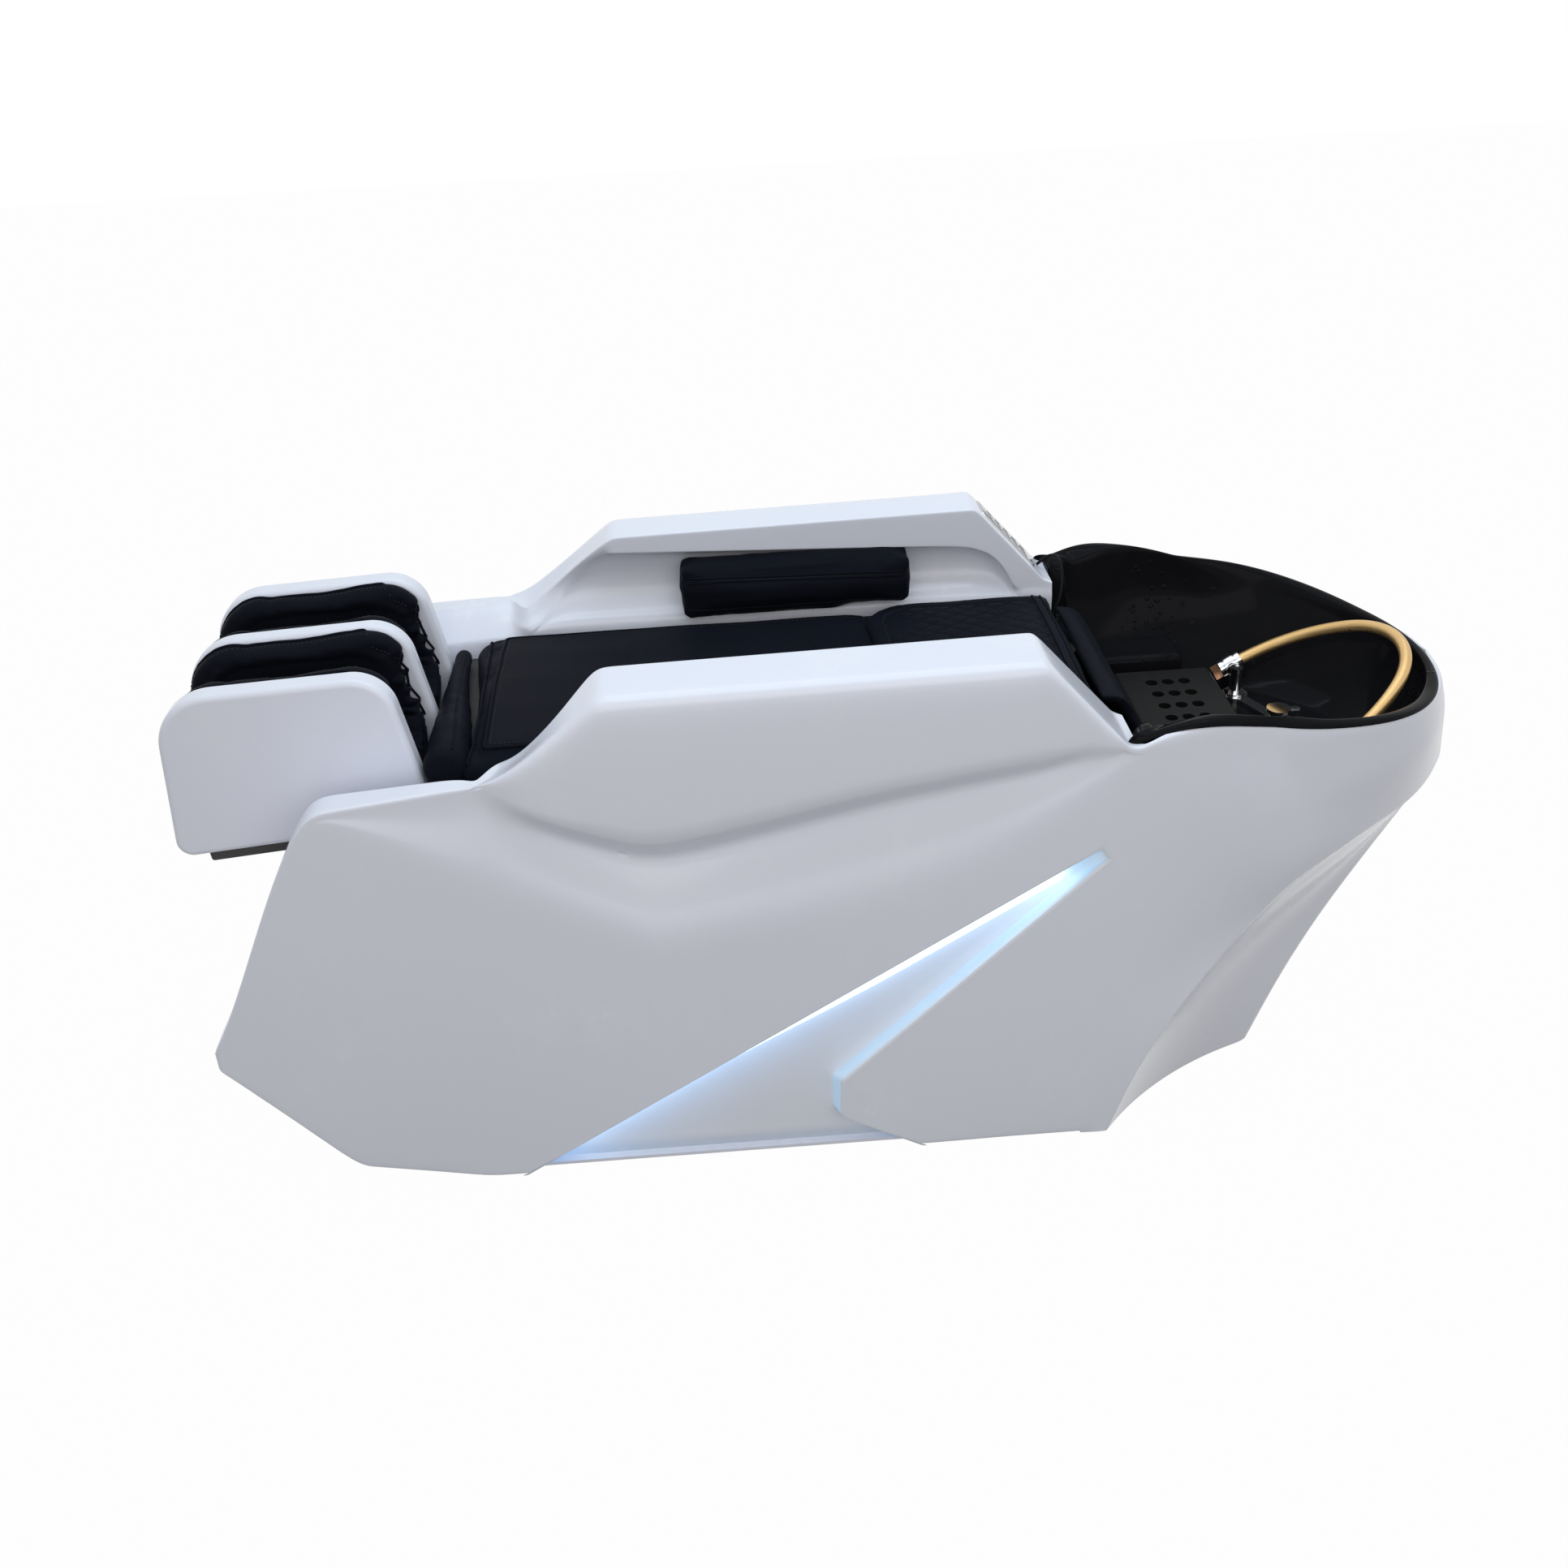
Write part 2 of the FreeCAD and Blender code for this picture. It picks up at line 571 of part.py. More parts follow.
def pad_section(x, half, low, shoulder, crown, tuck):
    """One slice of a cushion: flat below, drawn-in sides and a crowned top."""
    waist = (low + shoulder) / 2
    corners = [Vector(x, -half + tuck, low), Vector(x, half - tuck, low),
               Vector(x, half - tuck, shoulder), Vector(x, -half + tuck, shoulder)]
    return Part.Wire([
        Part.makeLine(corners[0], corners[1]),
        Part.Arc(corners[1], Vector(x, half, waist), corners[2]).toShape(),
        Part.Arc(corners[2], Vector(x, 0, shoulder + crown), corners[3]).toShape(),
        Part.Arc(corners[3], Vector(x, -half, waist), corners[0]).toShape(),
    ])


def cushion(front, rear, half, low, shoulder, crown, tuck, ease):
    """A crowned pad whose ends draw in over a length of ease."""
    pinch = (shoulder - low) * 0.22
    stations = (
        (front, half - ease / 2, low + pinch, shoulder - pinch, crown * 0.3),
        (front + ease, half, low, shoulder, crown * 0.8),
        ((front + rear) / 2, half, low, shoulder, crown),
        (rear - ease, half, low, shoulder, crown * 0.8),
        (rear, half - ease / 2, low + pinch, shoulder - pinch, crown * 0.3),
    )
    wires = [pad_section(x, w, a, b, c, tuck) for x, w, a, b, c in stations]
    return Part.makeLoft(wires, True, True)


def make_seat():
    gap = size("fit_gap")
    deck_top = size("rail_top_z") + size("deck_thick")
    overlay_top = seat_top_z() + size("overlay_thick")
    seat = cushion(size("seat_front_x"), size("seat_rear_x"), size("seat_half"), deck_top + gap,
                   seat_top_z() - size("seat_crown"), size("seat_crown"), 8, 16)
    overlay = cushion(size("overlay_front_x"), size("overlay_rear_x"), size("overlay_half"),
                      seat_top_z() - 12, overlay_top - size("seat_crown"), size("seat_crown"),
                      5, 12)
    bed = cushion(size("seat_front_x"), size("seat_rear_x"), size("seat_half"), deck_top,
                  seat_top_z() - size("seat_crown") + gap, size("seat_crown"), 8, 16)
    feature("seat_cushion", seat)
    feature("back_overlay", overlay.cut(bed))
    half = size("roll_half")
    radius = size("roll_round")
    ease = 14
    stations = ((-half, radius - ease / 2), (-half + ease, radius), (half - ease, radius),
                (half, radius - ease / 2))
    middle = deck_top + gap + radius
    wires = [Part.Wire([Part.makeCircle(r, Vector(size("roll_x"), y, middle), Vector(0, 1, 0))])
             for y, r in stations]
    feature("front_bolster", Part.makeLoft(wires, True, True))


def make_neck_flap():
    """The padded flap that hangs from the overlay over the basin's front wall."""
    thick = size("flap_thick")
    top = seat_top_z() + size("overlay_thick") - 6
    start = size("overlay_rear_x") + size("fit_gap")
    corners = (
        (start, top, 3), (size("flap_low_x") - 42, top - 6, 26),
        (size("flap_low_x"), top - size("flap_drop"), 4),
        (size("flap_low_x") - thick, top - size("flap_drop") - 1, 4),
        (size("flap_low_x") - 46 - thick / 2, top - 6 - thick, 16), (start, top - thick, 3),
    )
    feature("neck_flap", slab(corners, -size("flap_half"), size("flap_half")))


def make_cuffs():
    """A padded arm cuff that lies against the scoop inside each arm."""
    radius = size("scoop_round") - size("fit_gap") - 0.2
    middle_y = -size("inner_half") - size("scoop_deep") + size("scoop_round")
    front = size("cuff_front_x")
    rear = size("cuff_rear_x")
    face_y = -size("cuff_inner_y")
    low = size("cuff_low_z")
    high = size("cuff_high_z")

    def slice_at(x, draw):
        z_low = low + draw
        z_high = high - draw
        back_low = middle_y - math.sqrt(radius ** 2 - (z_low - size("scoop_z")) ** 2)
        back_high = middle_y - math.sqrt(radius ** 2 - (z_high - size("scoop_z")) ** 2)
        bottom = Vector(x, back_low, z_low)
        lid = Vector(x, back_high, z_high)
        front_low = Vector(x, face_y - draw - 6, z_low)
        front_high = Vector(x, face_y - draw - 6, z_high)
        back = Vector(x, middle_y - radius + draw, size("scoop_z"))
        return Part.Wire([
            Part.Arc(front_low, Vector(x, face_y - draw, size("scoop_z")), front_high).toShape(),
            Part.makeLine(front_high, lid),
            Part.Arc(lid, back, bottom).toShape(),
            Part.makeLine(bottom, front_low),
        ])

    stations = ((front, 7), (front + 12, 0), (rear - 12, 0), (rear, 7))
    cuff = Part.makeLoft([slice_at(x, draw) for x, draw in stations], True, True)
    feature("left_arm_cuff", cuff)
    feature("right_arm_cuff", mirrored(cuff))


# Basin, head pad and fittings


def bowl_section(level, grow):
    z, front_x, front_y, crease_x, crease_y, corner_x, corner_y, tail_x = level
    front = Vector(front_x - grow, -front_y - grow, z)
    crease = Vector(crease_x + grow * 0.4, -crease_y - grow, z)
    corner = Vector(corner_x + grow * 0.8, -corner_y - grow * 0.6, z)
    tail = Vector(tail_x + grow, 0, z)
    flip = [Vector(p.x, -p.y, p.z) for p in (front, crease, corner)]
    return Part.Wire([
        Part.makeLine(flip[0], front),
        bowed(front, crease, BOWL_SIDE_BOW),
        bowed(crease, corner, BOWL_FLANK_BOW),
        Part.Arc(corner, tail, flip[2]).toShape(),
        bowed(flip[2], flip[1], BOWL_FLANK_BOW),
        bowed(flip[1], flip[0], BOWL_SIDE_BOW),
    ])


def bowl_solid(grow):
    floor = size("bowl_floor_z") - BOWL_LEVELS[0][0]
    wires = []
    for index, level in enumerate(BOWL_LEVELS):
        drop = grow if index == 0 else 0
        wires.append(bowl_section((level[0] + floor - drop,) + level[1:], grow))
    return Part.makeLoft(wires, True, False)


def make_basin():
    half = size("half_width")
    inside = bowl_solid(0)
    left = hull_half(0)
    hull = left.fuse(mirrored(left)).removeSplitter()
    under_rim = slab(side_outline(-40, size("lip_thick")), -half, half)
    lip = slab(side_outline(-40, 0), -half, half).cut(under_rim).common(hull)
    bowl = bowl_solid(size("bowl_thick")).common(under_rim)
    basin = bowl.fuse(lip).cut(inside)
    neck_z = seat_top_z() - size("neck_drop")
    neck = Part.makeBox(size("neck_long"), 2 * size("neck_half"), arm_rear_z() - neck_z,
                        Vector(size("tip_x") - 10, -size("neck_half"), neck_z))
    drain = Part.makeCylinder(size("drain_round") + size("drain_wall") + size("fit_gap"), 60,
                              Vector(size("drain_x"), 0, size("bowl_floor_z") - 30))
    feature("basin", basin.cut(neck).cut(drain).removeSplitter())


def make_drain():
    floor = "bowl_floor_z"
    tube = rod("drain_tube", "drain_round + drain_wall", f"{floor} - drain_tube_z", "drain_x", 0,
               "drain_tube_z")
    ring = rod("drain_ring", "drain_flange_round", 3, "drain_x", 0, floor)
    body = fuse("drain_body", tube, ring)
    bore = rod("drain_bore", "drain_round", f"{floor} - drain_tube_z", "drain_x", 0, f"{floor} - 8")
    throat = rod("drain_throat", "drain_round - 6", f"{floor} - drain_tube_z + 10", "drain_x", 0,
                 "drain_tube_z - 5")
    keep("drain_flange", cut("drain_cut", cut("drain_open", body, bore), throat))
    cup = rod("strainer_cup", "drain_round - fit_gap", 10, "drain_x", 0, f"{floor} - 8 + fit_gap")
    holes = [rod("strainer_eye", 4, 20, "drain_x", 0, f"{floor} - 12")]
    for index in range(6):
        across = 0.55 * math.cos(math.radians(60 * index))
        aside = 0.55 * math.sin(math.radians(60 * index))
        holes.append(rod(f"strainer_hole_{index}", 2.5, 20, f"drain_x + drain_round * {across:.3f}",
                         f"drain_round * {aside:.3f}", f"{floor} - 12"))
    keep("hair_strainer", cut("strainer", cup, fuse("strainer_holes", *holes)))
    radius = size("drain_hose_round")
    start = Vector(size("drain_x"), 0, size("drain_tube_z") - size("fit_gap"))
    low_x = size("base_rear_x") + 40
    points = [start, Vector(start.x, 0, 380), Vector(low_x, 0, 210),
              Vector(low_x, 0, size("base_z") + 10)]
    outer = pipe(points, (70, 70), radius)
    inner = pipe(points, (70, 70), radius - size("drain_hose_wall"))
    feature("drain_hose", outer.cut(inner))


def make_head_pad():
    block = box("pad_block", "pad_rear_x - pad_front_x", "2 * pad_half",
                "pad_top_z - bowl_floor_z - fit_gap", "pad_front_x", "-pad_half",
                "bowl_floor_z + fit_gap")
    doc.recompute()
    soft = doc.addObject("Part::Fillet", "pad_soft")
    soft.Base = block
    lifted = size("bowl_floor_z") + 1
    edges = [i + 1 for i, edge in enumerate(block.Shape.Edges) if edge.CenterOfMass.z > lifted]
    soft.Edges = [(i, 10, 10) for i in edges]
    holes = []
    for row in range(-2, 3):
        for column in range(-1, 2):
            holes.append(rod(f"pad_hole_{row + 2}_{column + 1}", "pad_hole_round", "pad_hole_deep + 1",
                             f"(pad_front_x + pad_rear_x) / 2 + {column} * pad_pitch_x",
                             f"{row} * pad_pitch_y", "pad_top_z - pad_hole_deep"))
    keep("head_pad", cut("pad", soft, fuse("pad_holes", *holes)))


def arch_path():
    """Half of a three-centred arch, laid back by its tilt, with its ends on the pivot line."""
    half = size("arch_half")
    rise = size("arch_rise")
    crown = size("arch_crown_round")
    flank = (half ** 2 + (rise - crown) ** 2 - crown ** 2) / (2 * (half - crown))
    reach = math.hypot(flank - half, rise - crown)
    joint_y = crown * (flank - half) / reach
    joint_s = (rise - crown) + crown * (rise - crown) / reach
    bend = math.atan2(joint_s, joint_y - half + flank) / 2
    mid_y = half - flank + flank * math.cos(bend)
    mid_s = flank * math.sin(bend)
    tilt = math.radians(size("arch_tilt"))

    def at(y, s):
        return Vector(size("arch_x") + s * math.cos(tilt), y, size("arch_z") + s * math.sin(tilt))

    return Part.Wire([
        Part.Arc(at(half, 0), at(mid_y, mid_s), at(joint_y, joint_s)).toShape(),
        Part.Arc(at(joint_y, joint_s), at(0, rise), at(-joint_y, joint_s)).toShape(),
        Part.Arc(at(-joint_y, joint_s), at(-mid_y, mid_s), at(-half, 0)).toShape(),
    ])


def make_arch():
    tilt = math.radians(size("arch_tilt"))
    along = Vector(math.cos(tilt), 0, math.sin(tilt))
    end = Vector(size("arch_x"), size("arch_half"), size("arch_z"))
    circle = Part.Wire([Part.makeCircle(size("arch_round"), end, along)])
    tube = arch_path().makePipeShell([circle], True, True)
    long = size("sleeve_long")
    boss_y = size("post_y") + size("post_round") + size("fit_gap") + 2
    sleeves = []
    nuts = []
    for side in (1, -1):
        middle = Vector(end.x, side * end.y, end.z)
        sleeve = Part.makeCylinder(size("sleeve_round"), long, middle - along * long / 2, along)
        boss = Part.makeCylinder(size("sleeve_round") - 2, end.y - boss_y,
                                 Vector(end.x, side * boss_y, end.z), Vector(0, side, 0))
        bore = Part.makeCylinder(size("stub_round") + size("run_gap"), 16,
                                 Vector(end.x, side * (boss_y - 4), end.z), Vector(0, side, 0))
        sleeves.append(sleeve.fuse(boss).cut(bore).cut(tube))
        across = size("nut_across")
        nut = Part.makeBox(across, across, size("nut_long"),
                           Vector(-across / 2, -across / 2, long / 2))
        nut.Placement = Placement(middle, Rotation(Vector(0, 0, 1), along * -1))
        nuts.append(nut)
    feature("water_arch", tube)
    feature("arch_sleeves", Part.Compound(sleeves))
    feature("arch_end_nuts", Part.Compound(nuts))


def make_posts():
    stub_long = "post_round + 10"
    floor = "bowl_floor_z + fit_gap"
    supports = []
    for side, sign, base in (("left", -1, floor), ("right", 1, f"{floor} + bridge_thick + fit_gap")):
        post = rod(f"{side}_post", "post_round", f"arch_z + post_round - ({base})", "arch_x",
                   f"{sign} * post_y", base)
        flange = rod(f"{side}_flange", "post_round + 8", 4, "arch_x", f"{sign} * post_y", base)
        stub = doc.addObject("Part::Cylinder", f"{side}_stub")
        stub.Placement = Placement(Vector(), Rotation(Vector(1, 0, 0), -90 * sign))
        bind(stub, Radius="stub_round", Height=stub_long)
        place(stub, "arch_x", f"{sign} * post_y", "arch_z")
        supports.append(fuse(f"{side}_arch_support", post, flange, stub))
    keep("arch_posts", group("arch_supports", *supports))


def make_tap():
    gap = size("fit_gap")
    low = size("bowl_floor_z") + gap
    thick = size("bridge_thick")
    far = Vector(size("arch_x"), size("post_y"), low)
    near = Vector(size("knob_x"), size("knob_y"), low)
    reach = near - far
    bar = Part.makeBox(reach.Length, 2 * size("post_round"), thick, Vector(0, -size("post_round"), 0))
    bar.Placement = Placement(far, Rotation(Vector(1, 0, 0), reach))
    bridge = bar.fuse(Part.makeCylinder(size("bridge_round"), thick, far))
    bridge = bridge.fuse(Part.makeCylinder(size("bridge_round"), thick, near))
    spindle = Part.makeCylinder(size("spindle_round"), thick + 14, near)
    feature("tap_bridge", bridge.fuse(spindle).removeSplitter())
    foot = near + Vector(0, 0, thick + gap)
    neck = Part.makeCylinder(size("knob_round") - 6, size("knob_high"), foot)
    cap = Part.makeCylinder(size("knob_round"), 6, foot + Vector(0, 0, size("knob_high") - 6))
    lever = Part.makeBox(34, 9, 5, foot + Vector(0, -4.5, size("knob_high") - 6))
    bore = Part.makeCylinder(size("spindle_round") + size("run_gap"), 15, foot)
    feature("tap_knob", neck.fuse(cap).fuse(lever).cut(bore).removeSplitter())


# Leg rest and its drive


def leg_corners(inset=0):
    """The side walls' outline, drawn in by inset along the top and both ends."""
    fall = (size("leg_heel_z") - size("leg_foot_z")) / (size("leg_heel_x") - size("leg_foot_x"))
    return (
        (size("leg_foot_x") + inset, size("leg_foot_z") + inset * fall, 24),
        (size("leg_toe_x") + inset, size("leg_toe_z") - inset, 88 - inset / 2),
        (size("leg_knee_x") - inset, size("leg_knee_z") - inset, 62 - inset / 2),
        (size("leg_back_x") - inset, size("leg_back_z"), 18),
        (size("leg_heel_x") - inset, size("leg_heel_z") - inset * fall, 8),
    )


def make_leg_walls():
    half = size("leg_half")
    thick = size("leg_side_thick")
    mid = size("leg_mid_half")
    for name, low, high in (
        ("left", -half, thick - half), ("middle", -mid, mid), ("right", half - thick, half),
    ):
        wall = slab(leg_corners(), low, high)
        outer = [edge for edge in wall.Edges if abs(edge.BoundBox.YLength) < 0.01
                 and edge.CenterOfMass.z > size("leg_back_z") - 60]
        feature(f"leg_{name}_wall", wall.makeFillet(10, outer))


def make_leg_pads():
    gap = size("fit_gap")
    inner = size("leg_mid_half") + gap
    outer = size("leg_half") - size("leg_side_thick") - gap
    middle = (inner + outer) / 2
    block = slab(leg_corners(size("leg_pad_drop")), -outer, -inner)
    start = Vector(size("leg_foot_x") - 20, -middle, size("trough_z"))
    long = size("leg_back_x") - size("leg_foot_x") + 40
    groove = Part.makeCylinder(size("trough_half"), long, start, Vector(1, 0, 0))
    above = Part.makeBox(long, 2 * size("trough_half"), 200, start - Vector(0, size("trough_half"), 0))
    pad = block.cut(groove.fuse(above))
    feature("leg_left_pad", pad)
    feature("leg_right_pad", mirrored(pad))


def leg_floor():
    """The line under the walls: a start point and a unit vector towards the knee."""
    start = Vector(size("leg_foot_x"), 0, size("leg_foot_z"))
    end = Vector(size("leg_heel_x"), 0, size("leg_heel_z"))
    return start, (end - start).normalize(), (end - start).Length


def make_leg_plate():
    start, along, long = leg_floor()
    down = Vector(along.z, 0, -along.x)
    near = start + along * size("leg_plate_front") + down * size("fit_gap")
    far = start + along * (long - 4) + down * size("fit_gap")
    thick = down * size("leg_plate_thick")
    corners = [(p.x, p.z, 4) for p in (near, far, far + thick, near + thick)]
    feature("leg_base_plate", slab(corners, -size("leg_plate_half"), size("leg_plate_half")))


def lever(reach, low_y, high_y, crank):
    """A plate from under the leg rest to a hub on the pivot, with an optional crank."""
    start, along, long = leg_floor()
    down = Vector(along.z, 0, -along.x)
    gap = size("fit_gap")
    top = start + along * (long - reach) + down * (size("leg_plate_thick") + 2 * gap)
    edge = start + along * (long - 8) + down * (size("leg_plate_thick") + 2 * gap)
    hub = Vector(size("pivot_x"), 0, size("pivot_z"))
    corners = [(top.x, top.z, 0), (edge.x, edge.z, 0), (hub.x - 3, hub.z + size("hub_round") - 2, 0),
               (hub.x, hub.z - size("hub_round") + 1, 0), (top.x, top.z - 14, 6)]
    plate = slab(corners, low_y, high_y)
    wide = high_y - low_y
    side = Vector(0, 1, 0)
    plate = plate.fuse(Part.makeCylinder(size("hub_round"), wide, hub + side * low_y, side))
    if crank:
        angle = math.radians(size("crank_angle"))
        pin = hub + Vector(math.cos(angle), 0, math.sin(angle)) * size("crank_long")
        plate = plate.fuse(Part.makeCylinder(13, wide, pin + side * low_y, side))
        web = [(pin.x - 13, pin.z, 0), (pin.x - 8, hub.z - 20, 0), (hub.x + 8, hub.z - 12, 0),
               (pin.x + 12, pin.z - 4, 0)]
        plate = plate.fuse(slab(web, low_y, high_y))
        grip = size("yoke_gap") + size("yoke_plate") + 4
        plate = plate.fuse(Part.makeCylinder(size("crank_pin_round"), 2 * grip, pin - side * grip, side))
    bore = Part.makeCylinder(size("pin_round") + size("run_gap"), wide, hub + side * low_y, side)
    return plate.cut(bore).removeSplitter()


def make_leg_hinge():
    half = size("arm_plate") / 2
    y = size("hinge_arm_y")
    arms = [lever(110, side * y - half, side * y + half, False) for side in (-1, 1)]
    feature("leg_hinge_arms", Part.Compound(arms))
    feature("leg_crank", lever(110, -half + 1, half - 1, True))
    keep("hinge_pin", rod("pivot_pin", "pin_round", "2 * pin_half", "pivot_x", "-pin_half",
                          "pivot_z", "y"))


def make_hinge_brackets():
    """Two ears on the front crossbar that hold the pivot pin."""
    half = size("arm_plate") / 2
    rear = size("rail_front_x") - size("fit_gap")
    low = size("rail_top_z") - size("tube_high")
    hub = Vector(size("pivot_x"), 0, size("pivot_z"))
    side = Vector(0, 1, 0)
    ears = []
    for sign in (-1, 1):
        low_y = sign * size("bracket_y") - half
        corners = [(rear, low + 1, 0), (rear, size("rail_top_z") - 1, 0),
                   (hub.x, hub.z + size("hub_round") - 1, 0), (hub.x, hub.z - size("hub_round") + 1, 0)]
        ear = slab(corners, low_y, low_y + 2 * half)
        ear = ear.fuse(Part.makeCylinder(size("hub_round"), 2 * half, hub + side * low_y, side))
        foot = Part.makeBox(6, 50, size("tube_high") - 4,
                            Vector(rear - 6, sign * size("bracket_y") - 25, low + 2))
        ear = ear.fuse(foot)
        hole = Part.makeCylinder(size("pin_round") + size("run_gap"), 2 * half, hub + side * low_y, side)
        ears.append(ear.cut(hole).removeSplitter())
    feature("hinge_brackets", Part.Compound(ears))


def make_actuator():
    """A fixed linear motor whose rod ends in a slotted yoke round the crank pin."""
    angle = math.radians(size("crank_angle"))
    pin_x = size("pivot_x") + math.cos(angle) * size("crank_long")
    pin_high = size("pivot_z") + math.sin(angle) * size("crank_long")
    pin_low = size("pivot_z") - size("crank_long")
    axis_z = (pin_high + pin_low) / 2
    slot = size("crank_pin_round") + size("yoke_play")
    lift = (pin_high - pin_low) / 2
    side = Vector(0, 1, 0)
    plates = []
    wide = size("yoke_plate")
    for low_y in (-size("yoke_gap") - wide, size("yoke_gap")):
        reach = slot + 7
        outline = [(pin_x - reach, axis_z - lift - reach, 6), (pin_x + 40, axis_z - lift - reach, 6),
                   (pin_x + 40, axis_z + lift + reach, 6), (pin_x - reach, axis_z + lift + reach, 6)]
        window = [(pin_x - slot, axis_z - lift - slot, slot - 0.5), (pin_x + slot, axis_z - lift - slot, slot - 0.5),
                  (pin_x + slot, axis_z + lift + slot, slot - 0.5), (pin_x - slot, axis_z + lift + slot, slot - 0.5)]
        plates.append(slab(outline, low_y, low_y + wide).cut(slab(window, low_y, low_y + wide)))
    block = slab([(pin_x + 24, axis_z - 14, 3), (pin_x + 40, axis_z - 14, 3), (pin_x + 40, axis_z + 14, 3),
                  (pin_x + 24, axis_z + 14, 3)], -size("yoke_gap"), size("yoke_gap"))
    stem = Part.makeCylinder(size("rod_round"), size("rod_rear_x") - pin_x - 40,
                             Vector(pin_x + 40, 0, axis_z), Vector(1, 0, 0))
    yoke = plates[0].fuse(plates[1]).fuse(block).fuse(stem)
    feature("actuator_rod", yoke.removeSplitter())
    front = Vector(size("motor_front_x"), 0, axis_z)
    body = Part.makeCylinder(size("motor_round"), size("motor_rear_x") - front.x, front, Vector(1, 0, 0))
    gear = Part.makeBox(70, 60, 74, Vector(size("motor_rear_x") - 70, -30, axis_z - 74 + 20))
    top = size("rail_top_z") - size("tube_high") - size("fit_gap")
    saddle = Part.makeBox(size("tube_wide"), 50, top - axis_z,
                          Vector(size("rail_front_x") + 22, -25, axis_z))
    body = body.fuse(gear).fuse(saddle)
    bore = Part.makeCylinder(size("rod_round") + size("run_gap"),
                             size("rod_rear_x") + size("rod_stroke") + 4 - front.x, front,
                             Vector(1, 0, 0))
    feature("actuator_motor", body.cut(bore).removeSplitter())


# Massage carriage under the deck


def make_massage():
    guides = [rod(f"guide_{i}", "guide_round", "guide_rear_x - guide_front_x - 2 * fit_gap",
                  "guide_front_x + fit_gap", f"{s} * rod_y", "guide_z", "x")
              for i, s in enumerate((-1, 1))]
    keep("guide_rods", group("guides", *guides))
    base = box("carriage_base", "carriage_long", "2 * carriage_half", "carriage_thick",
               "carriage_front_x", "-carriage_half", "guide_z - carriage_thick / 2")
    middle = "carriage_front_x + carriage_long / 2"
    forks = []
    for index, y in enumerate(("-roller_y - roller_wide / 2 - 1 - fork_thick", "-fork_thick / 2",
                               "roller_y + roller_wide / 2 + 1")):
        forks.append(box(f"fork_{index}", 30, "fork_thick", "roller_z + 12 - guide_z",
                         f"{middle} - 15", y, "guide_z"))
    axle_half = "(roller_y + roller_wide / 2 + 1 + fork_thick)"
    solid = fuse("carriage_solid", base, *forks)
    bores = [rod(f"carriage_bore_{i}", "guide_round + run_gap", "carriage_long + 4",
                 "carriage_front_x - 2", f"{s} * rod_y", "guide_z", "x") for i, s in enumerate((-1, 1))]
    axle = rod("axle", "axle_round", f"2 * {axle_half}", middle, f"-{axle_half}", "roller_z", "y")
    drilled = cut("carriage_drilled", solid, fuse("carriage_bores", *bores))
    keep("massage_carriage", fuse("carriage", drilled, axle))
    for name, sign in (("left", -1), ("right", 1)):
        wheel = rod(f"{name}_wheel", "roller_round", "roller_wide", middle,
                    f"{sign} * roller_y - roller_wide / 2", "roller_z", "y")
        hole = rod(f"{name}_wheel_hole", "axle_round + run_gap", "roller_wide + 2", middle,
                   f"{sign} * roller_y - roller_wide / 2 - 1", "roller_z", "y")
        keep(f"{name}_massage_roller", cut(f"{name}_roller", wheel, hole))
    keep("massage_motor", box("drive_motor", 70, 60, 46, f"{middle} - 35", "rack_wide + 8",
                              "guide_z - carriage_thick / 2 - fit_gap - 46"))
    top = size("guide_z") - size("carriage_thick") / 2 - 2
    pitch = size("rack_pitch")
    deep = size("rack_deep")
    front = size("guide_front_x") + size("fit_gap")
    rear = size("guide_rear_x") - size("fit_gap")
    points = [Vector(rear, 0, top - 3 * deep), Vector(front, 0, top - 3 * deep), Vector(front, 0, top),
              Vector(front + pitch * 0.15, 0, top)]
    for index in range(int((rear - front) / pitch)):
        x = front + index * pitch
        for share, lift in ((0.25, -deep), (0.4, 0), (0.6, 0), (0.75, -deep)):
            points.append(Vector(x + share * pitch, 0, top + lift))
    points.extend((Vector(rear - 3, 0, top - deep), Vector(rear - 2, 0, top), Vector(rear, 0, top)))
    face = Part.Face(Part.makePolygon(points + points[:1]))
    feature("drive_rack", face.extrude(Vector(0, size("rack_wide"), 0)))


# Water and electrics


